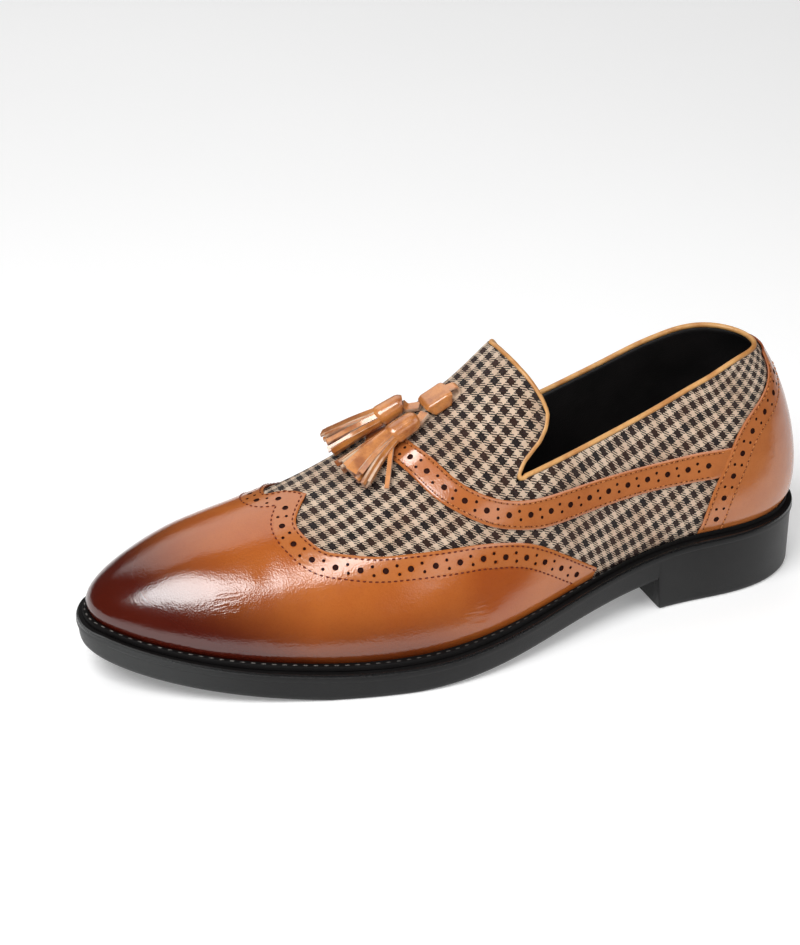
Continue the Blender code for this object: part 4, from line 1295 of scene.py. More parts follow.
def flesh_finish(colours):
    """The undyed flesh side and cut edges of the tassel strips."""
    finish = Finish("strip_flesh", specular_ior_level=0.25, sheen_weight=0.15)
    place = finish.place()
    fibre = finish.noise(place, 1500.0, 4.0, 0.7)
    cloud = finish.noise(place, 130.0, 3.0)
    base = finish.mix(cloud.ramp(*CLOUDY), colours.flesh, colours.tassel_shade)
    base = finish.mix(fibre.ramp(0.5, 0.8) * 0.4, base, colours.flesh)
    normal = finish.bump(fibre, 0.5, 0.0004)
    return finish.feed(Base_Color=base, Roughness=0.68 + fibre * 0.2, Normal=normal)


def thread_finish(name, colour, shade, fade=0.0):
    """Twisted sewing thread; a fade paints shade on it behind the toe."""
    finish = Finish(name, specular_ior_level=0.2)
    place = finish.place()
    _, y, _ = finish.parts(place)
    ply = finish.noise(place, 2600.0, 2.0, 0.6)
    # Painted shade: with a fade the thread darkens behind the toe
    base = finish.mix(ply.ramp(*CLOUDY).most(y.ramp(-0.11, -0.03) * fade), colour, shade)
    normal = finish.bump(ply, 0.5, 0.0002)
    return finish.feed(Base_Color=base, Roughness=0.5 + ply * 0.2, Normal=normal)


def rubber_finish(name, colour, shade, toe_light, rough, gloss, ribbed=False):
    """Moulded black rubber with a fine pebble, ribbed across the shoe underneath."""
    finish = Finish(name, specular_ior_level=gloss)
    place = finish.place()
    x, y, _ = finish.parts(place)
    cloud = finish.noise(place, 45.0, 4.0, 0.6)
    pebble = finish.noise(place, 1500.0, 3.0, 0.6)
    base = finish.mix(cloud.ramp(*CLOUDY), colour, shade)
    # Painted light: the sole's side lighter toward the toe
    base = finish.mix(y.ramp(-0.085, -0.14), base, toe_light)
    height = pebble
    if ribbed:
        wave = (y * 900.0 + (x * 260.0).sine() * 2.2).sine()
        height = wave.ramp(-0.35, 0.1) * 4.0 + pebble * 0.5
        # Painted shade: the grooves between the ribs are darker
        base = finish.mix(wave.ramp(0.1, -0.5) * 0.6, base, shade)
    normal = finish.bump(height, 0.6 if ribbed else 0.22, 0.0006 if ribbed else 0.0003)
    rough = rough + cloud * 0.12 + pebble * 0.1
    return finish.feed(Base_Color=base, Roughness=rough, Normal=normal)


def lining_finish(colours):
    """Black glove leather inside."""
    finish = Finish("lining", specular_ior_level=0.4)
    place = finish.place()
    pore = finish.cells(place, 1300.0)
    cloud = finish.noise(place, 60.0, 4.0)
    base = finish.mix(cloud.ramp(*CLOUDY), colours.lining, colours.lining_shade)
    normal = finish.bump(pore + cloud * 0.6, 0.25, 0.0005)
    return finish.feed(Base_Color=base, Roughness=0.45 + cloud * 0.15, Normal=normal)


def floor_finish():
    """Pale paper that glows a little, more so far off, where the lamps do not reach."""
    finish = Finish("studio_floor", specular_ior_level=0.1, emission_strength=0.62)
    place = finish.place()
    cloud = finish.noise(place, 3.0, 3.0)
    base = finish.mix(cloud, (0.80, 0.80, 0.80), (0.84, 0.84, 0.84))
    away = finish.far(place, (0.0, 0.0, 0.0)).ramp(0.45, 2.4)
    glow = finish.mix(away, (0.40, 0.40, 0.40), (1.0, 1.0, 1.0))
    return finish.feed(Base_Color=base, Roughness=0.75 + cloud * 0.1, Emission_Color=glow)


def build_cloth(cloth, lining):
    """The upper: quarters and vamp in checked cloth with a black lining, open at the collar."""
    back = even_stations(HEEL_END, NOTCH, BACK_COLUMNS)
    front = even_stations(NOTCH, TOE_END, FRONT_COLUMNS)
    back[-1] = front[0] = NOTCH
    order = [(a, -1.0) for a in back[::-1]] + [(a, 1.0) for a in back[1:]]
    quarters = np.array([back_column(a, side) for a, side in order])
    order = [(a, 1.0) for a in front] + [(a, -1.0) for a in front[::-1][1:]]
    vamp = np.array([front_column(a, side) for a, side in order])
    faces = grid_faces(len(quarters), quarters.shape[2])
    faces += grid_faces(len(vamp), vamp.shape[2], quarters.shape[0] * quarters.shape[2])
    x, a = [np.concatenate([quarters[:, i].ravel(), vamp[:, i].ravel()]) for i in (0, 1)]
    piece = add_piece("cloth_upper", surface(x, a), faces, [cloth, lining])
    add_places(piece, "lay", lay(x, a))
    tidy_mesh(piece, SHEET_MERGE)
    thicken(piece, WALL, 1, 1)
    return piece


def creased(points):
    """How deep the soft creases are at points of the form."""
    drop = np.zeros(points.shape[:-1])
    for crease in CREASES:
        start, way = np.array(crease.start), np.subtract(crease.end, crease.start)
        share = np.clip((points - start) @ way / (way @ way), 0, 1)
        far = np.linalg.norm(points - start - share[..., None] * way, axis=-1)
        fade = np.sin(np.pi * np.clip(share, CREASE_FADE, 1 - CREASE_FADE))
        drop += crease.depth * fade * np.exp(-((far / crease.width) ** 2))
    return drop


def overlay(name, x, a, to_free, height, materials, strip=0.0):
    """A leather overlay on plan places: its edge rolled down, its foot drawn in behind the welt."""
    lift = FOOT_LIFT + (OVERLAY_TOP - FOOT_LIFT) * smooth_step(*FOOT_TUCK, height)
    lift = lift - EDGE_ROLL * np.exp(-to_free / EDGE_ROUND)
    points = surface(x, a)
    points = (points + outward(x, a) * (lift - creased(points))[..., None]).reshape(-1, 3)
    piece = add_piece(name, points, grid_faces(*x.shape), materials)
    add_places(piece, "edging", np.repeat(near_wing_edge(points) < strip, 3))
    tidy_mesh(piece, SHEET_MERGE)
    thicken(piece, OVERLAY_SKIN, 0, 1)
    return piece


def build_wing(materials, strip):
    """The wing cap: rungs from its foot along the sole up to its winged edge and its peak."""
    sides = []
    for rows, side in WING_SIDES:
        rungs = []
        for foot_a, edge_x, edge_a in zip(*wing_edge(rows, side)):
            path = straight((feather(foot_a, side), foot_a), (edge_x, edge_a))
            rungs.append(walk(*path, WING_SHARES, low=OVERLAY_FOOT))
        sides.append(np.array(rungs))
    middle = (sides[0][-1] + sides[1][-1]) / 2
    grid = np.concatenate([sides[0][:-1], middle[None], sides[1][::-1][1:]])
    x, a, to_free = grid[:, 0], grid[:, 1], grid[:, 2]
    height = surface(x, a)[..., 2] - foot(a)
    return overlay("wing_cap_leather", x, a, to_free, height, materials, strip)


def build_band(materials):
    """The side band on both sides, from under the tassels down and back to the counter."""
    sides = []
    share = np.linspace(0, 1, BAND_STEPS)
    for side in SIDES:
        rows = []
        for top_a, top_turn, low_a, low_turn in zip(*band_edges()):
            a = low_a + (top_a - low_a) * share
            x = turned(a, low_turn + (top_turn - low_turn) * share, side)
            rows.append(walk(x, a, BAND_SHARES))
        sides.append(np.array(rows))
    grid = np.concatenate([sides[0][::-1], sides[1][1:]])
    total = grid[:, 2, :1]
    to_free = np.minimum(grid[:, 2], total - grid[:, 2])
    run = run_of(surface(grid[:, 0, 0], grid[:, 1, 0]))
    tucked = FOOT_TUCK[0] + BAND_RISE * np.minimum(run, run[-1] - run)
    height = np.repeat(tucked[:, None], to_free.shape[1], axis=1)
    return overlay("side_band_leather", grid[:, 0], grid[:, 1], to_free, height, materials)


def build_counter(materials):
    """The heel counter, which narrows to a strip at the back of the collar."""
    shares = 1 - (1 - np.linspace(0, 1, COUNTER_COLUMNS)) ** COUNTER_CLOSER
    heights = np.linspace(OVERLAY_FOOT, COUNTERS[-1].height, COUNTER_ROWS)
    inner = counter_places(shares[:0:-1], heights, -1.0)
    outer = counter_places(shares, heights, 1.0)
    x, a = [np.concatenate(rows) for rows in zip(inner, outer)]
    points = surface(x, a)
    steps = np.linalg.norm(np.diff(points, axis=0), axis=-1)
    run = np.concatenate([np.zeros((1, len(heights))), np.cumsum(steps, axis=0)])
    to_free = np.minimum(run, run[-1] - run)
    return overlay("heel_counter_leather", x, a, to_free, points[..., 2] - foot(a), materials)


def wing_rows(far):
    """Rows a distance in from the wing cap's edge, trimmed where both sides' meet in the peak."""
    rows, plans = [], []
    for edge, side in WING_SIDES:
        _, x, a = wing_edge(edge, side)
        row = lengthen(*inset_row(x, a, far, side))
        points = form(*row)
        clear = near_edge(points, edge, side) > ROW_CLEAR * far
        seen = (points[:, 2] - foot(row[0]) > ROW_FOOT) & clear
        rows.append([values[seen] for values in row])
        plans.append(points[seen, :2])
    return [[values[:end] for values in row] for row, end in zip(rows, crossing(*plans))]


def crossing(first, second):
    """How many points of each of two plan lines lie before the place where they cross."""
    def turn_of(one, two):
        return one[..., 0] * two[..., 1] - one[..., 1] * two[..., 0]

    step, other = np.diff(first, axis=0)[:, None], np.diff(second, axis=0)[None]
    gap = second[None, :-1] - first[:-1, None]
    size = turn_of(step, other)
    size = np.where(np.abs(size) < 1e-15, 1e-15, size)
    shares = np.stack([turn_of(gap, other) / size, turn_of(gap, step) / size])
    hits = np.argwhere(((shares >= 0) & (shares <= 1)).all(axis=0))
    if len(hits) == 0:
        raise RuntimeError("the wing's two rows do not meet in the peak")
    return hits[-1] + 1


def near_edge(points, rows, side):
    """Distance of points from one side's edge of the wing cap."""
    _, x, a = wing_edge(rows, side)
    edge = surface(x, a)
    return np.array([np.linalg.norm(edge - point, axis=1).min() for point in points])


def near_wing_edge(points):
    """Distance of points from the nearer edge of the wing cap."""
    return np.minimum(*(near_edge(points, rows, side) for rows, side in WING_SIDES))


def lengthen(a, lean):
    """A row carried straight on beyond its end."""
    points = form(a, lean)
    reach = np.linspace(0, ROW_REACH, REACH_STEPS)[1:, None]
    ahead = points[-1] + unit(points[-1] - points[-4]) * reach
    more = settle(ahead, np.full(len(reach), a[-1]), np.full(len(reach), lean[-1]))
    return np.concatenate([a, more[0]]), np.concatenate([lean, more[1]])


def band_rows(far):
    """Rows along the side band: in from its upper edge, from its lower one, or along its middle."""
    rows = []
    top_a, top_turn, low_a, low_turn = band_edges()
    for side in SIDES:
        if far is None:
            a, lean = (top_a + low_a) / 2, side * (90 - (top_turn + low_turn) / 2)
        else:
            a, turn = (top_a, top_turn) if far > 0 else (low_a, low_turn)
            a, lean = inset_row(turned(a, np.minimum(turn, MOST_LEAN), side), a, far, -side)
        run = run_of(form(a, lean))
        seen = run < run[-1] - BAND_TUCK
        rows.append((a[seen], lean[seen]))
    return rows


def counter_rows(far):
    """Rows a distance in from the counter's front edge, up to where the strip gets narrow."""
    rows = []
    low, high = COUNTER_SEWN
    heights = np.linspace(low, COUNTERS[-1].height - high, COUNTER_STEPS)
    for side in SIDES:
        x, a = [places[0] for places in counter_places(np.ones(1), heights, side)]
        station, lean = inset_row(x, a, far, -side)
        across = surface(leaned(station, lean), station)[:, 0] - ridge_x(HEEL_END)
        seen = across * side > BACK_STRIP
        rows.append((station[seen], lean[seen]))
    return rows


def punch_plan(material):
    """A tree that cuts round holes into a sheet at the points of a cloud."""
    plan = Plan("punch_holes", {"Holes": "NodeSocketObject", "Depth": "NodeSocketFloat"})
    cloud = plan.node("GeometryNodeObjectInfo", {"Object": plan.inputs["Holes"]}, "Geometry")
    sizes = {"Vertices": 14, "Radius": 1.0, "Depth": plan.inputs["Depth"]}
    pin = plan.node("GeometryNodeMeshCylinder", sizes, fill_type="NGON")
    pin = plan.node("GeometryNodeSetMaterial", {"Geometry": pin, "Material": material})
    pins = plan.node("GeometryNodeRealizeInstances", {"Geometry": plan.lay_out(cloud, pin)})
    meshes = {"Mesh 1": plan.inputs["Geometry"], "Mesh 2": pins}
    cut = plan.node("GeometryNodeMeshBoolean", meshes, operation="DIFFERENCE", solver="MANIFOLD")
    plan.finish(cut, None)
    return plan


def lay_stitches(name, spots, material, slot):
    """A piece with one stitch on each of its spots."""
    piece = point_cloud(name, spots)
    plan = Plan("lay_stitches", {})
    bead = plan.node("GeometryNodeMeshUVSphere", {"Segments": 8, "Rings": 4, "Radius": 1.0})
    plan.finish(plan.lay_out(plan.inputs["Geometry"], bead), material)
    plan.grow(piece, {})
    keep(piece, slot)


def ladder(rings):
    """Points and faces of a solid from rings of lateral and medial rows, the caps made of rungs."""
    count = len(rings[0][0])
    size = 2 * count
    last = (len(rings) - 1) * size
    loop = [*range(count), *range(size - 2, count, -1)]
    walls = []
    for k in range(0, last, size):
        for i, j in zip(loop, loop[1:] + loop[:1]):
            walls.append((k + j, k + i, k + size + i, k + size + j))
    under = [(i, i + 1, count + i + 1, count + i) for i in range(count - 1)]
    over = [tuple(last + i for i in rung[::-1]) for rung in under]
    return np.vstack([row for rows in rings for row in rows]), walls, under, over


def build_outsole(materials):
    """The sole with its heel: side, tread, ledge and lip each in a material of its own."""
    stations = sole_stations(SOLE_COLUMNS)
    rings = []
    for step in SOLE_STEPS:
        if step.below_top is None:
            rings.append(plan_ring(stations, step.inset, lambda s, at: tread(s) + step.from_tread))
        else:
            rings.append(plan_ring(stations, step.inset, lambda s, at: rim(at) - step.below_top))
    points, walls, under, over = ladder(rings)
    lip = LIP_ROUNDS * len(walls) // (len(rings) - 1)
    slots = [0] * (len(walls) - lip) + [3] * lip + [1] * len(under) + [2] * len(over)
    faces = walls + under + over
    return add_solid(
        "rubber_outsole", points, faces, materials, slots, SOLID_MERGE, False, SOLE_SHARP)


def build_insole(lining):
    """The board inside, with a rounded upper edge."""
    stations = sole_stations(INSOLE_COLUMNS)
    rings = []
    for inset, up in INSOLE_STEPS:
        inset += WALL + INSOLE_ROOM
        rings.append(plan_ring(stations, inset, lambda s, at: rim(at) + up, 0.0))
    points, walls, under, over = ladder(rings)
    faces = walls + under + over
    return add_solid("insole_board", points, faces, [lining], None, SOLID_MERGE, False, WELT_SHARP)


def welt_line(share, up):
    """A closed line round the welt, a share of the way out to its outer edge, at a height."""
    path = []
    a = even_stations(HEEL_END, TOE_END, WELT_COLUMNS)
    for side in SIDES:
        x = feather(a, side)
        tall = (CLEARANCE + WELT_HEIGHT) / swell_height(a)
        inner = swell(a) * tall * np.exp(1 - tall) + 2 * CLEARANCE
        far = inner + (extension(a) - WELT_LEDGE - inner) * share
        normal = unit(outward(x, a)[:, :2])
        spot = np.column_stack([x + normal[:, 0] * far, LENGTH / 2 - a + normal[:, 1] * far])
        path.append(np.column_stack([spot, rim(LENGTH / 2 - spot[:, 1]) + up]))
    return np.vstack([path[0], path[1][::-1][1:-1]])


def build_welt(rubber):
    """The welt: one closed strip round the foot of the upper."""
    rings = [welt_line(share, CLEARANCE + WELT_HEIGHT * up) for share, up in WELT_PROFILE]
    count = len(rings[0])
    faces = []
    for k in range(len(rings)):
        m = (k + 1) % len(rings)
        for i in range(count):
            j = (i + 1) % count
            faces.append((k * count + i, k * count + j, m * count + j, m * count + i))
    points = np.vstack(rings)
    return add_solid("stitched_welt", points, faces, [rubber], None, SOLID_MERGE, True, WELT_SHARP)


def welt_spots(sizes):
    """One stitch after another along the welt's top."""
    line = welt_line(WELT_SEAM, CLEARANCE + WELT_HEIGHT)
    line = np.vstack([line, line[:1]])
    run = run_of(line)
    count = int(run[-1] / sizes.welt_pitch)
    at = np.arange(count) * run[-1] / count
    at = at[np.interp(at, run, line[:, 1]) < LENGTH / 2 - WELT_SEWN]
    along = unit(read_off(at, run, np.gradient(line, axis=0)))
    out, size = [np.tile(row, (len(at), 1)) for row in ((0.0, 0.0, 1.0), WELT_STITCH)]
    return Spots(read_off(at, run, line), along, out, size)


def build_piping(material):
    """The piping as a closed round cord along the collar's edge."""
    points = piping_path(PIPING_STEP) + SHIFT
    curve = bpy.data.curves.new("collar_piping_cord", "CURVE")
    curve.dimensions = "3D"
    curve.bevel_depth = PIPING_RADIUS
    curve.bevel_resolution = 3
    line = curve.splines.new("POLY")
    line.points.add(len(points) - 1)
    line.points.foreach_set("co", np.column_stack([points, np.ones(len(points))]).ravel())
    line.use_cyclic_u = True
    line.use_smooth = True
    source = bpy.data.objects.new("collar_piping_path", curve)
    mesh = bpy.data.meshes.new_from_object(source)
    bpy.data.objects.remove(source)
    bpy.data.curves.remove(curve)
    mesh.materials.append(material)
    piece = bpy.data.objects.new("collar_piping_cord", mesh)
    bpy.context.scene.collection.objects.link(piece)
    tidy_mesh(piece, SOLID_MERGE, recalc=True)
    return piece


def ribbon(path, sideways, out, wide, thick):
    """A flat strip with bevelled edges along a path, its edges and back in slot 1."""
    across = np.array([-1.0, -0.86, 0.86, 1.0, 0.86, -0.86])
    up = np.array([0.0, 0.5, 0.5, 0.0, -0.5, -0.5])
    wide = np.broadcast_to(wide, len(path))
    rings = [path[k] + sideways[k] * (across * wide[k])[:, None] + out[k] * (up * thick)[:, None]
             for k in range(len(path))]
    return *loft(rings), [1, 0, 1, 1, 1, 1] * (len(path) - 1) + [1] * 12


def round_rings(rows, gap, count, seam, square=1.0):
    """Rings of a wrapped tube on the upper, with the step of its lapped edge at one side."""
    middle, sideways, up, _ = frames(rows, gap, count)
    at = np.linspace(0, 1, count)
    knots = column(rows, "station")
    knots = (knots - knots[0]) / (knots[-1] - knots[0])
    wide, tall = [np.interp(at, knots, column(rows, name)) for name in ("width", "height")]
    share = np.arange(TUBE_POINTS) / TUBE_POINTS
    lap = 1 + seam * (share - 0.5)
    angle = np.arange(TUBE_POINTS) * 2 * pi / TUBE_POINTS
    cosine, sine = [np.sign(v) * np.abs(v) ** square * lap for v in (np.cos(angle), np.sin(angle))]
    return [
        middle[k] + sideways[k] * (wide[k] * cosine)[:, None] + up[k] * (tall[k] * sine)[:, None]
        for k in range(count)
    ]


def capped(rings):
    """A wrapped tube whose two ends show a raw edge round a sunk middle."""
    ends = []
    for end, inward in ((rings[0], rings[1] - rings[0]), (rings[-1], rings[-2] - rings[-1])):
        middle = end.mean(axis=0)
        edge = middle + (end - middle) * CAP_RIM
        ends.append((edge, edge + unit(inward.mean(axis=0)) * CAP_SUNK))
    whole = [ends[0][1], ends[0][0], *rings, *ends[1]]
    # Slot 2, the sunk middle at each end, takes painted shade
    slots = [2, 1, *[0] * (len(rings) - 1), 1, 2, 2, 2]
    return *loft(whole), np.repeat(slots, len(rings[0])).tolist()


def build_tassel(name, rows, materials, seed, lone, broad_at):
    """Strap, wrapped cap and a skirt of loose strips, their flesh side and edges left raw."""
    gap = OVERLAY_TOP + 2 * CLEARANCE
    chance = np.random.default_rng(seed)
    middle, sideways, up, _ = frames(rows[:3], gap, STRAP_POINTS)
    forms = [ribbon(middle, sideways, up, STRAP_WIDE, STRAP_THICK)]
    forms.append(capped(round_rings(rows[2:6], gap, CAP_POINTS, CAP_LAP)))
    skirt = rows[5:]
    middle, sideways, up, forward = frames(skirt, gap, STRIP_POINTS)
    t = np.linspace(0, 1, STRIP_POINTS)
    for strips, inner in ((TASSEL_STRIPS, 1.0), (INNER_STRIPS, INNER_SHARE)):
        for i in range(strips):
            share = i / strips + (0.5 / strips if inner < 1 else 0.0)
            theta = broad_at + share * 2 * pi + chance.uniform(-0.08, 0.08) * (i > 0)
            end = 1.0 + chance.uniform(-0.10, 0.05)
            theta = theta + t * chance.uniform(-0.16, 0.16)
            turn = chance.uniform(-0.7, 0.7) * t * (i > 0)
            flare = skirt[-1].width * chance.uniform(0.90, 1.05) - SKIRT_WIDE
            wide = (SKIRT_WIDE + flare * t**1.15) * inner
            flare = skirt[-1].height * chance.uniform(0.90, 1.08) - SKIRT_TALL
            tall = (SKIRT_TALL + flare * t) * inner
            cosine, sine = np.cos(theta), np.sin(theta)
            base = middle + forward * ((end - 1.0) * SKIRT_LONG * t)[:, None]
            path = base + sideways * (wide * cosine)[:, None] + up * (tall * sine)[:, None]
            out = unit(sideways * (cosine / wide)[:, None] + up * (sine / tall)[:, None])
            across = unit(np.cross(np.gradient(path, axis=0), out))
            lean_in = across * np.cos(turn)[:, None] + out * np.sin(turn)[:, None]
            out = unit(np.cross(lean_in, np.gradient(path, axis=0)))
            root, spread = BROAD_STRIP if i == 0 and inner == 1.0 else STRIP
            forms.append(ribbon(path, lean_in, out, root + spread * t, STRIP_THICK))
    if lone:
        forms.append(lone_strip(rows, gap))
    return add_forms(name, forms, materials)


def add_forms(name, forms, materials):
    """A piece of several closed forms, each with its faces' material slots."""
    points, faces, slots = join_forms(forms)
    return add_solid(name, points, faces, materials, slots, TASSEL_MERGE, True, TASSEL_SHARP)


def lone_strip(rows, gap):
    """One strip that has swung out of the skirt and hangs down the side of the vamp."""
    start = rows[5]
    t = np.linspace(0, 1, STRIP_POINTS)
    a = start.station * LENGTH + LONE_REACH[0] * t
    x = start.side * BALL_WIDTH + LONE_REACH[1] * t
    out = outward(x, a)
    path = surface(x, a) + out * (gap + LONE_HIGH - LONE_DROP * smooth_step(0, 1, t))[:, None]
    sideways = unit(np.cross(np.gradient(path, axis=0), out))
    return ribbon(path, sideways, out, *LONE_SIZE)


def build_keeper(materials):
    """The folded sleeve over the crossed strap, with the strap's loop standing behind it."""
    rings = round_rings(KEEPERS, CLEARANCE, KEEPER_POINTS, KEEPER_LAP, KEEPER_SQUARE)
    middle, sideways, up, forward = frames(KEEPERS, CLEARANCE)
    angle = np.linspace(-pi / 2, pi / 2, LOOP_POINTS)
    back = np.concatenate([[LOOP_IN], LOOP_BACK + LOOP_ROUND * np.cos(angle), [LOOP_IN]])
    high = np.concatenate([[-LOOP_APART], LOOP_ROUND * np.sin(angle), [LOOP_APART]]) + LOOP_UP
    path = middle[0] - forward[0] * back[:, None] + up[0] * high[:, None]
    across = np.tile(sideways[0], (len(path), 1))
    out = unit(np.cross(np.gradient(path, axis=0), across)) * -1
    forms = [(*loft(rings), 0), ribbon(path, across, out, STRAP_WIDE, LOOP_THICK)]
    return add_forms("tassel_keeper_sleeve", forms, materials)


def tone(red, green, blue):
    """A display colour from 0 to 255 as the linear colour that shaders use."""
    shares = (red / 255, green / 255, blue / 255)
    return tuple(c / 12.92 if c <= 10 / 255 else ((c + 0.055) / 1.055) ** 2.4 for c in shares)


def size_value(name, description, default):
    return bpy.props.FloatProperty(
        name=name, description=description, default=default, min=0.0, precision=5, unit="LENGTH",
        subtype="DISTANCE")


def colour_value(name, description, default):
    return bpy.props.FloatVectorProperty(
        name=name, description=description, default=tone(*default), size=3, min=0.0, max=1.0,
        subtype="COLOR")


class LoaferSizes(bpy.types.PropertyGroup):
    """Sizes of the shoe's small work"""

    hole_pitch: size_value("Hole pitch", "Distance between two large holes", 0.0088)
    large_hole: size_value("Large hole", "Radius of the large holes", 0.00120)
    small_hole: size_value("Small hole", "Radius of the small holes", 0.00063)
    pair_spread: size_value("Pair spread", "Distance between the two small holes of a pair", 0.0032)
    hole_depth: size_value("Hole depth", "How deep the holes go into the leather", 0.00064)
    hole_inset: size_value("Hole inset", "From an overlay's edge to its row of holes", 0.0054)
    stitch_pitch: size_value("Stitch pitch", "Length of one stitch with its gap", 0.0023)
    edge_inset: size_value("Edge stitching", "From an edge to the first row of stitches", 0.0013)
    far_inset: size_value("Inner stitching", "From an edge to the second row of stitches", 0.0094)
    welt_pitch: size_value("Welt stitch pitch", "Length of one welt stitch with its gap", 0.0039)


class LoaferColours(bpy.types.PropertyGroup):
    """Colours of the shoe's leathers, cloth, thread and rubber"""

    tan: colour_value("Tan", "Leather behind the toe", (177, 97, 39))
    chestnut: colour_value("Chestnut", "Darker patches of the leather", (152, 70, 21))
    burnish: colour_value("Burnish", "Leather burnished over the toe", (72, 17, 5))
    light_tan: colour_value("Light tan", "Leather of the side band and counter", (178, 106, 55))
    light_shade: colour_value("Light tan shade", "Darker patches of that leather", (154, 80, 38))
    needle: colour_value("Needle holes", "Shade where the thread goes in", (96, 42, 18))
    cut_edge: colour_value("Cut edge", "Cut edges of the leather overlays", (104, 50, 24))
    # Painted shade: the walls and bottoms of the punched holes are darkened where shade falls
    hole_shade: colour_value("Hole", "Painted shade in the holes", (40, 16, 8))
    piping: colour_value("Piping", "Collar piping", (206, 154, 92))
    piping_shade: colour_value("Piping shade", "Darker patches of the piping", (178, 118, 58))
    tassel: colour_value("Tassel", "Tassel leather", (204, 132, 66))
    tassel_shade: colour_value("Tassel shade", "Darker patches of the tassels", (148, 80, 33))
    flesh: colour_value("Flesh side", "Raw side and edges of the tassel strips", (206, 178, 152))
    cream_yarn: colour_value("Cream yarn", "Light yarn of the check", (228, 205, 181))
    beige_yarn: colour_value("Beige yarn", "Light yarn in its darker patches", (208, 179, 152))
    black_yarn: colour_value("Black yarn", "Dark yarn of the check", (22, 15, 17))
    brown_yarn: colour_value("Brown yarn", "Dark yarn of every other row", (48, 24, 15))
    fibre: colour_value("Fibre", "Loose fibres over the cloth", (150, 120, 108))
    thread: colour_value("Thread", "Thread of the band's and counter's seams", (212, 136, 74))
    # The wing cap's stitches: thread, painted dark for the shade where it dips into its needle
    # holes
    shaded_wing_thread: colour_value("Dark thread", "Thread of the wing cap's seams", (110, 38, 10))
    welt_thread: colour_value("Welt thread", "Thread of the welt", (128, 124, 120))
    rubber: colour_value("Rubber", "Sole and heel", (11, 11, 12))
    # Darker patches of the sole, and also the painted shade in the tread's grooves
    rubber_shade: colour_value("Rubber shade", "Darker patches of the sole", (7, 7, 8))
    # Painted light on the sole's side at the toe
    rubber_toe_light: colour_value("Rubber toe light", "Painted light on the sole's side at the toe", (44, 45, 45))
    welt: colour_value("Welt", "Welt and the sole's ledge", (9, 7, 7))
    lining: colour_value("Lining", "Lining and insole", (26, 24, 24))
    lining_shade: colour_value("Lining shade", "Darker patches of the lining", (14, 13, 13))


def keep(piece, slot, *nodes):
    """Ties a finished piece to the shoe's body and hides the solids it stands for; the slot that
    names its finish is not used.
    """
    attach(piece, "root")
    if nodes:
        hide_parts(*nodes)


def settings(context):
    """The scene's sizes and colours for the shoe."""
    return context.scene.loafer_sizes, context.scene.loafer_colours


class LOAFER_OT_upper(bpy.types.Operator):
    """Lasts the checked cloth upper with its lining"""

    bl_idname = "loafer.upper"
    bl_label = "Cloth Upper"

    def execute(self, context):
        _, colours = settings(context)
        keep(build_cloth(cloth_finish(colours), lining_finish(colours)), "check_cloth", "upper")
        return {"FINISHED"}


class LOAFER_OT_overlays(bpy.types.Operator):
    """Cuts the wing cap, side band and heel counter and punches their holes"""

    bl_idname = "loafer.overlays"
    bl_label = "Leather Overlays"

    def execute(self, context):
        sizes, colours = settings(context)
        pale, burnish = colours.light_tan, colours.burnish
        edge = edge_finish(colours)
        wing = [leather_finish("tan_leather", colours.tan, colours.chestnut, burnish, pale), edge]
        shade = colours.light_shade
        light = [leather_finish("light_tan_leather", pale, shade, burnish, pale), edge]
        lift = OVERLAY_TOP - sizes.hole_depth + PIN_LENGTH / 2
        work = (
            (build_wing(wing, sizes.far_inset), wing_rows(sizes.hole_inset), "wing_cap"),
            (build_band(light), band_rows(None), "side_band"),
            (build_counter(light), counter_rows(sizes.hole_inset), "heel_counter"),
        )
        # The punched holes' walls and bottoms take painted shade
        plan = punch_plan(painted_shade_finish("hole_dark", colours.hole_shade, burnish))
        for piece, rows, node in work:
            spots = join_spots([hole_row(*row, sizes, lift) for row in rows])
            cloud = point_cloud(node + "_holes", spots)
            before = len(piece.data.vertices)
            plan.grow(piece, {"Holes": cloud, "Depth": PIN_LENGTH})
            bpy.data.objects.remove(cloud)
            mesh = piece.data
            if len(mesh.vertices) <= before:
                raise RuntimeError("no holes were punched in " + node)
            slots = np.zeros(len(mesh.polygons), np.int32)
            mesh.polygons.foreach_get("material_index", slots)
            mesh.polygons.foreach_set("material_index", np.minimum(slots, len(mesh.materials) - 1))
            mesh.set_sharp_from_angle(angle=radians(HOLE_SHARP))
            keep(piece, "tan_leather", node)
        return {"FINISHED"}


class LOAFER_OT_stitches(bpy.types.Operator):
    """Sews the overlays' edges and the welt"""

    bl_idname = "loafer.stitches"
    bl_label = "Stitches"

    def execute(self, context):
        sizes, colours = settings(context)
        burnish = colours.burnish
        insets = (sizes.edge_inset, sizes.far_inset)
        dark = [row for far in insets for row in wing_rows(far)]
        light = [row for far in insets for row in counter_rows(far)]
        light += band_rows(sizes.edge_inset) + band_rows(-sizes.edge_inset)

        def along(rows, size, start):
            return join_spots([stitch_row(*row, sizes.stitch_pitch, size, start) for row in rows])

        bead = (sizes.stitch_pitch * STITCH_SHARE, *STITCH)
        for name, rows, colour in (
            ("wing_seams", dark, colours.shaded_wing_thread), ("leather_seams", light, colours.thread),
        ):
            thread = thread_finish(name + "_thread", colour, burnish)
            lay_stitches(name, along(rows, bead, 0.5), thread, "tan_leather")
        shade = painted_shade_finish("needle_shade", colours.needle, burnish)
        lay_stitches("needle_holes", along(light, NEEDLE_DIP, 0.0), shade, "tan_leather")
        thread = thread_finish("welt_thread", colours.welt_thread, colours.rubber, fade=0.75)
        lay_stitches("welt_stitches", welt_spots(sizes), thread, "welt_rubber")
        return {"FINISHED"}


class LOAFER_OT_piping(bpy.types.Operator):
    """Runs the round piping along the collar and the tab"""

    bl_idname = "loafer.piping"
    bl_label = "Collar Piping"

    def execute(self, context):
        _, colours = settings(context)
        keep(build_piping(piping_finish(colours)), "piping_leather", "collar_piping")
        return {"FINISHED"}


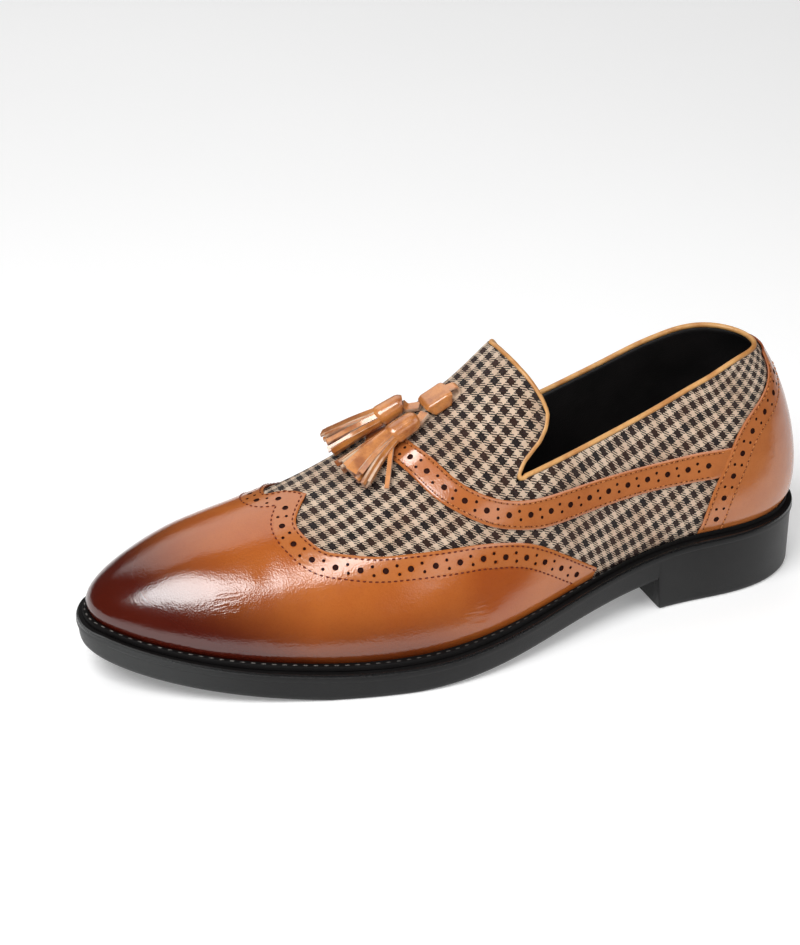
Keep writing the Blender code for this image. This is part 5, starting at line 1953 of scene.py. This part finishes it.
class LOAFER_OT_tassels(bpy.types.Operator):
    """Makes the two tassels and the keeper they hang from"""

    bl_idname = "loafer.tassels"
    bl_label = "Tassels"

    def execute(self, context):
        _, colours = settings(context)
        # Painted shade for the sunk ends of the tassel caps
        cap_shade = painted_shade_finish("cap_hollow", colours.hole_shade, colours.burnish)
        materials = [tassel_finish(colours), flesh_finish(colours), cap_shade]
        outer = build_tassel(
            "outer_tassel", TASSEL_LATERAL, materials, seed=5, lone=True, broad_at=1.9)
        keep(outer, "tassel_leather", "tassel_lateral")
        inner = build_tassel(
            "inner_tassel", TASSEL_MEDIAL, materials, seed=8, lone=False, broad_at=1.4)
        keep(inner, "tassel_leather", "tassel_medial")
        keep(build_keeper(materials), "tassel_leather", "tassel_keeper")
        return {"FINISHED"}


class LOAFER_OT_sole(bpy.types.Operator):
    """Moulds the outsole with its heel, the welt and the insole"""

    bl_idname = "loafer.sole"
    bl_label = "Sole and Welt"

    def execute(self, context):
        _, colours = settings(context)
        black = (colours.rubber, colours.rubber_shade, colours.rubber_toe_light)
        side = rubber_finish("rubber", *black, rough=0.36, gloss=0.36)
        under = rubber_finish("tread_rubber", *black, rough=0.40, gloss=0.36, ribbed=True)
        soft = (colours.welt, colours.lining_shade, colours.welt)
        welt = rubber_finish("welt_rubber", *soft, rough=0.55, gloss=0.14)
        lip = rubber_finish("lip_rubber", *black, rough=0.14, gloss=0.60)
        keep(build_outsole([side, under, welt, lip]), "rubber", "outsole")
        keep(build_welt(welt), "welt_rubber", "welt")
        keep(build_insole(lining_finish(colours)), "lining", "insole")
        return {"FINISHED"}


def add_softbox(box):
    """An area light that faces a place on the shoe, turned about its own middle by its roll."""
    lamp = bpy.data.lights.new(box.name, "AREA")
    lamp.shape = "RECTANGLE"
    lamp.size = box.width
    lamp.size_y = box.height
    lamp.energy = box.power
    light = bpy.data.objects.new(box.name, lamp)
    light.location = Vector(box.place)
    facing = (Vector(box.aim) - Vector(box.place)).to_track_quat("-Z", "Y").to_matrix()
    light.rotation_euler = (facing @ Matrix.Rotation(radians(box.roll), 3, "Z")).to_euler()
    bpy.context.scene.collection.objects.link(light)
    return light


def add_sheet(name, corners, z, material):
    """A flat sheet of the floor between corners."""
    mesh = bpy.data.meshes.new(name)
    mesh.from_pydata([(x, y, z) for x, y in corners], [], [range(len(corners))])
    mesh.materials.append(material)
    sheet = bpy.data.objects.new(name, mesh)
    bpy.context.scene.collection.objects.link(sheet)
    return sheet


def add_camera():
    """The camera that stands where the photo was taken."""
    data = bpy.data.cameras.new("photo_camera")
    data.lens = CAMERA_LENS
    data.sensor_width = CAMERA_SENSOR
    data.sensor_fit = "HORIZONTAL"
    camera = bpy.data.objects.new("photo_camera", data)
    turn, tilt = radians(CAMERA_AZIMUTH), radians(CAMERA_ELEVATION)
    back = Vector((np.sin(turn) * np.cos(tilt), -np.cos(turn) * np.cos(tilt), np.sin(tilt)))
    right = Vector((0, 0, 1)).cross(back).normalized()
    turned_to = Matrix((right, back.cross(right), back)).transposed().to_4x4()
    camera.matrix_world = Matrix.Translation(Vector(CAMERA) + Vector(SHIFT)) @ turned_to
    bpy.context.scene.collection.objects.link(camera)
    return camera


class LOAFER_OT_stage(bpy.types.Operator):
    """Sets the pale floor, the soft lights and the camera"""

    bl_idname = "loafer.stage"
    bl_label = "Stage"

    def execute(self, context):
        scene = context.scene
        finish = floor_finish()
        floor = add_sheet("studio_floor", FLOOR, FLOOR_DROP, finish)
        floor.visible_glossy = False
        add_sheet("floor_paper", PAPER, 0.0, finish)
        world = bpy.data.worlds.new("studio")
        world.use_nodes = True
        backdrop = world.node_tree.nodes["Background"].inputs
        backdrop["Color"].default_value = (1.0, 1.0, 1.0, 1.0)
        backdrop["Strength"].default_value = WORLD_STRENGTH
        scene.world = world
        lights = {box.name: add_softbox(box) for box in SOFTBOXES}
        linked = bpy.data.collections.new("glint_on")
        lights["glint_box"].light_linking.receiver_collection = linked
        linked.objects.link(bpy.data.objects["side_band_leather"])
        scene.camera = add_camera()
        scene.view_settings.view_transform = "Standard"
        return {"FINISHED"}


class LOAFER_PT_panel(bpy.types.Panel):
    """The shoe's pieces, sizes and colours"""

    bl_idname = "LOAFER_PT_panel"
    bl_label = "Tassel Loafer"
    bl_space_type = "VIEW_3D"
    bl_region_type = "UI"
    bl_category = "Loafer"

    def draw(self, context):
        for operator in OPERATORS:
            self.layout.operator(operator.bl_idname)
        for group in settings(context):
            box = self.layout.box()
            for name in group.__annotations__:
                box.prop(group, name)


OPERATORS = (
    LOAFER_OT_upper, LOAFER_OT_overlays, LOAFER_OT_stitches, LOAFER_OT_piping, LOAFER_OT_tassels,
    LOAFER_OT_sole, LOAFER_OT_stage,
)
CLASSES = (LoaferSizes, LoaferColours, *OPERATORS, LOAFER_PT_panel)


def register():
    for kind in CLASSES:
        bpy.utils.register_class(kind)
    bpy.types.Scene.loafer_sizes = bpy.props.PointerProperty(type=LoaferSizes)
    bpy.types.Scene.loafer_colours = bpy.props.PointerProperty(type=LoaferColours)


def unregister():
    del bpy.types.Scene.loafer_colours
    del bpy.types.Scene.loafer_sizes
    for kind in reversed(CLASSES):
        bpy.utils.unregister_class(kind)


def main():
    """Builds the shoe piece by piece."""
    register()
    bpy.ops.loafer.upper()
    bpy.ops.loafer.overlays()
    bpy.ops.loafer.stitches()
    bpy.ops.loafer.piping()
    bpy.ops.loafer.tassels()
    bpy.ops.loafer.sole()
    bpy.ops.loafer.stage()


if __name__ == "__main__":
    main()
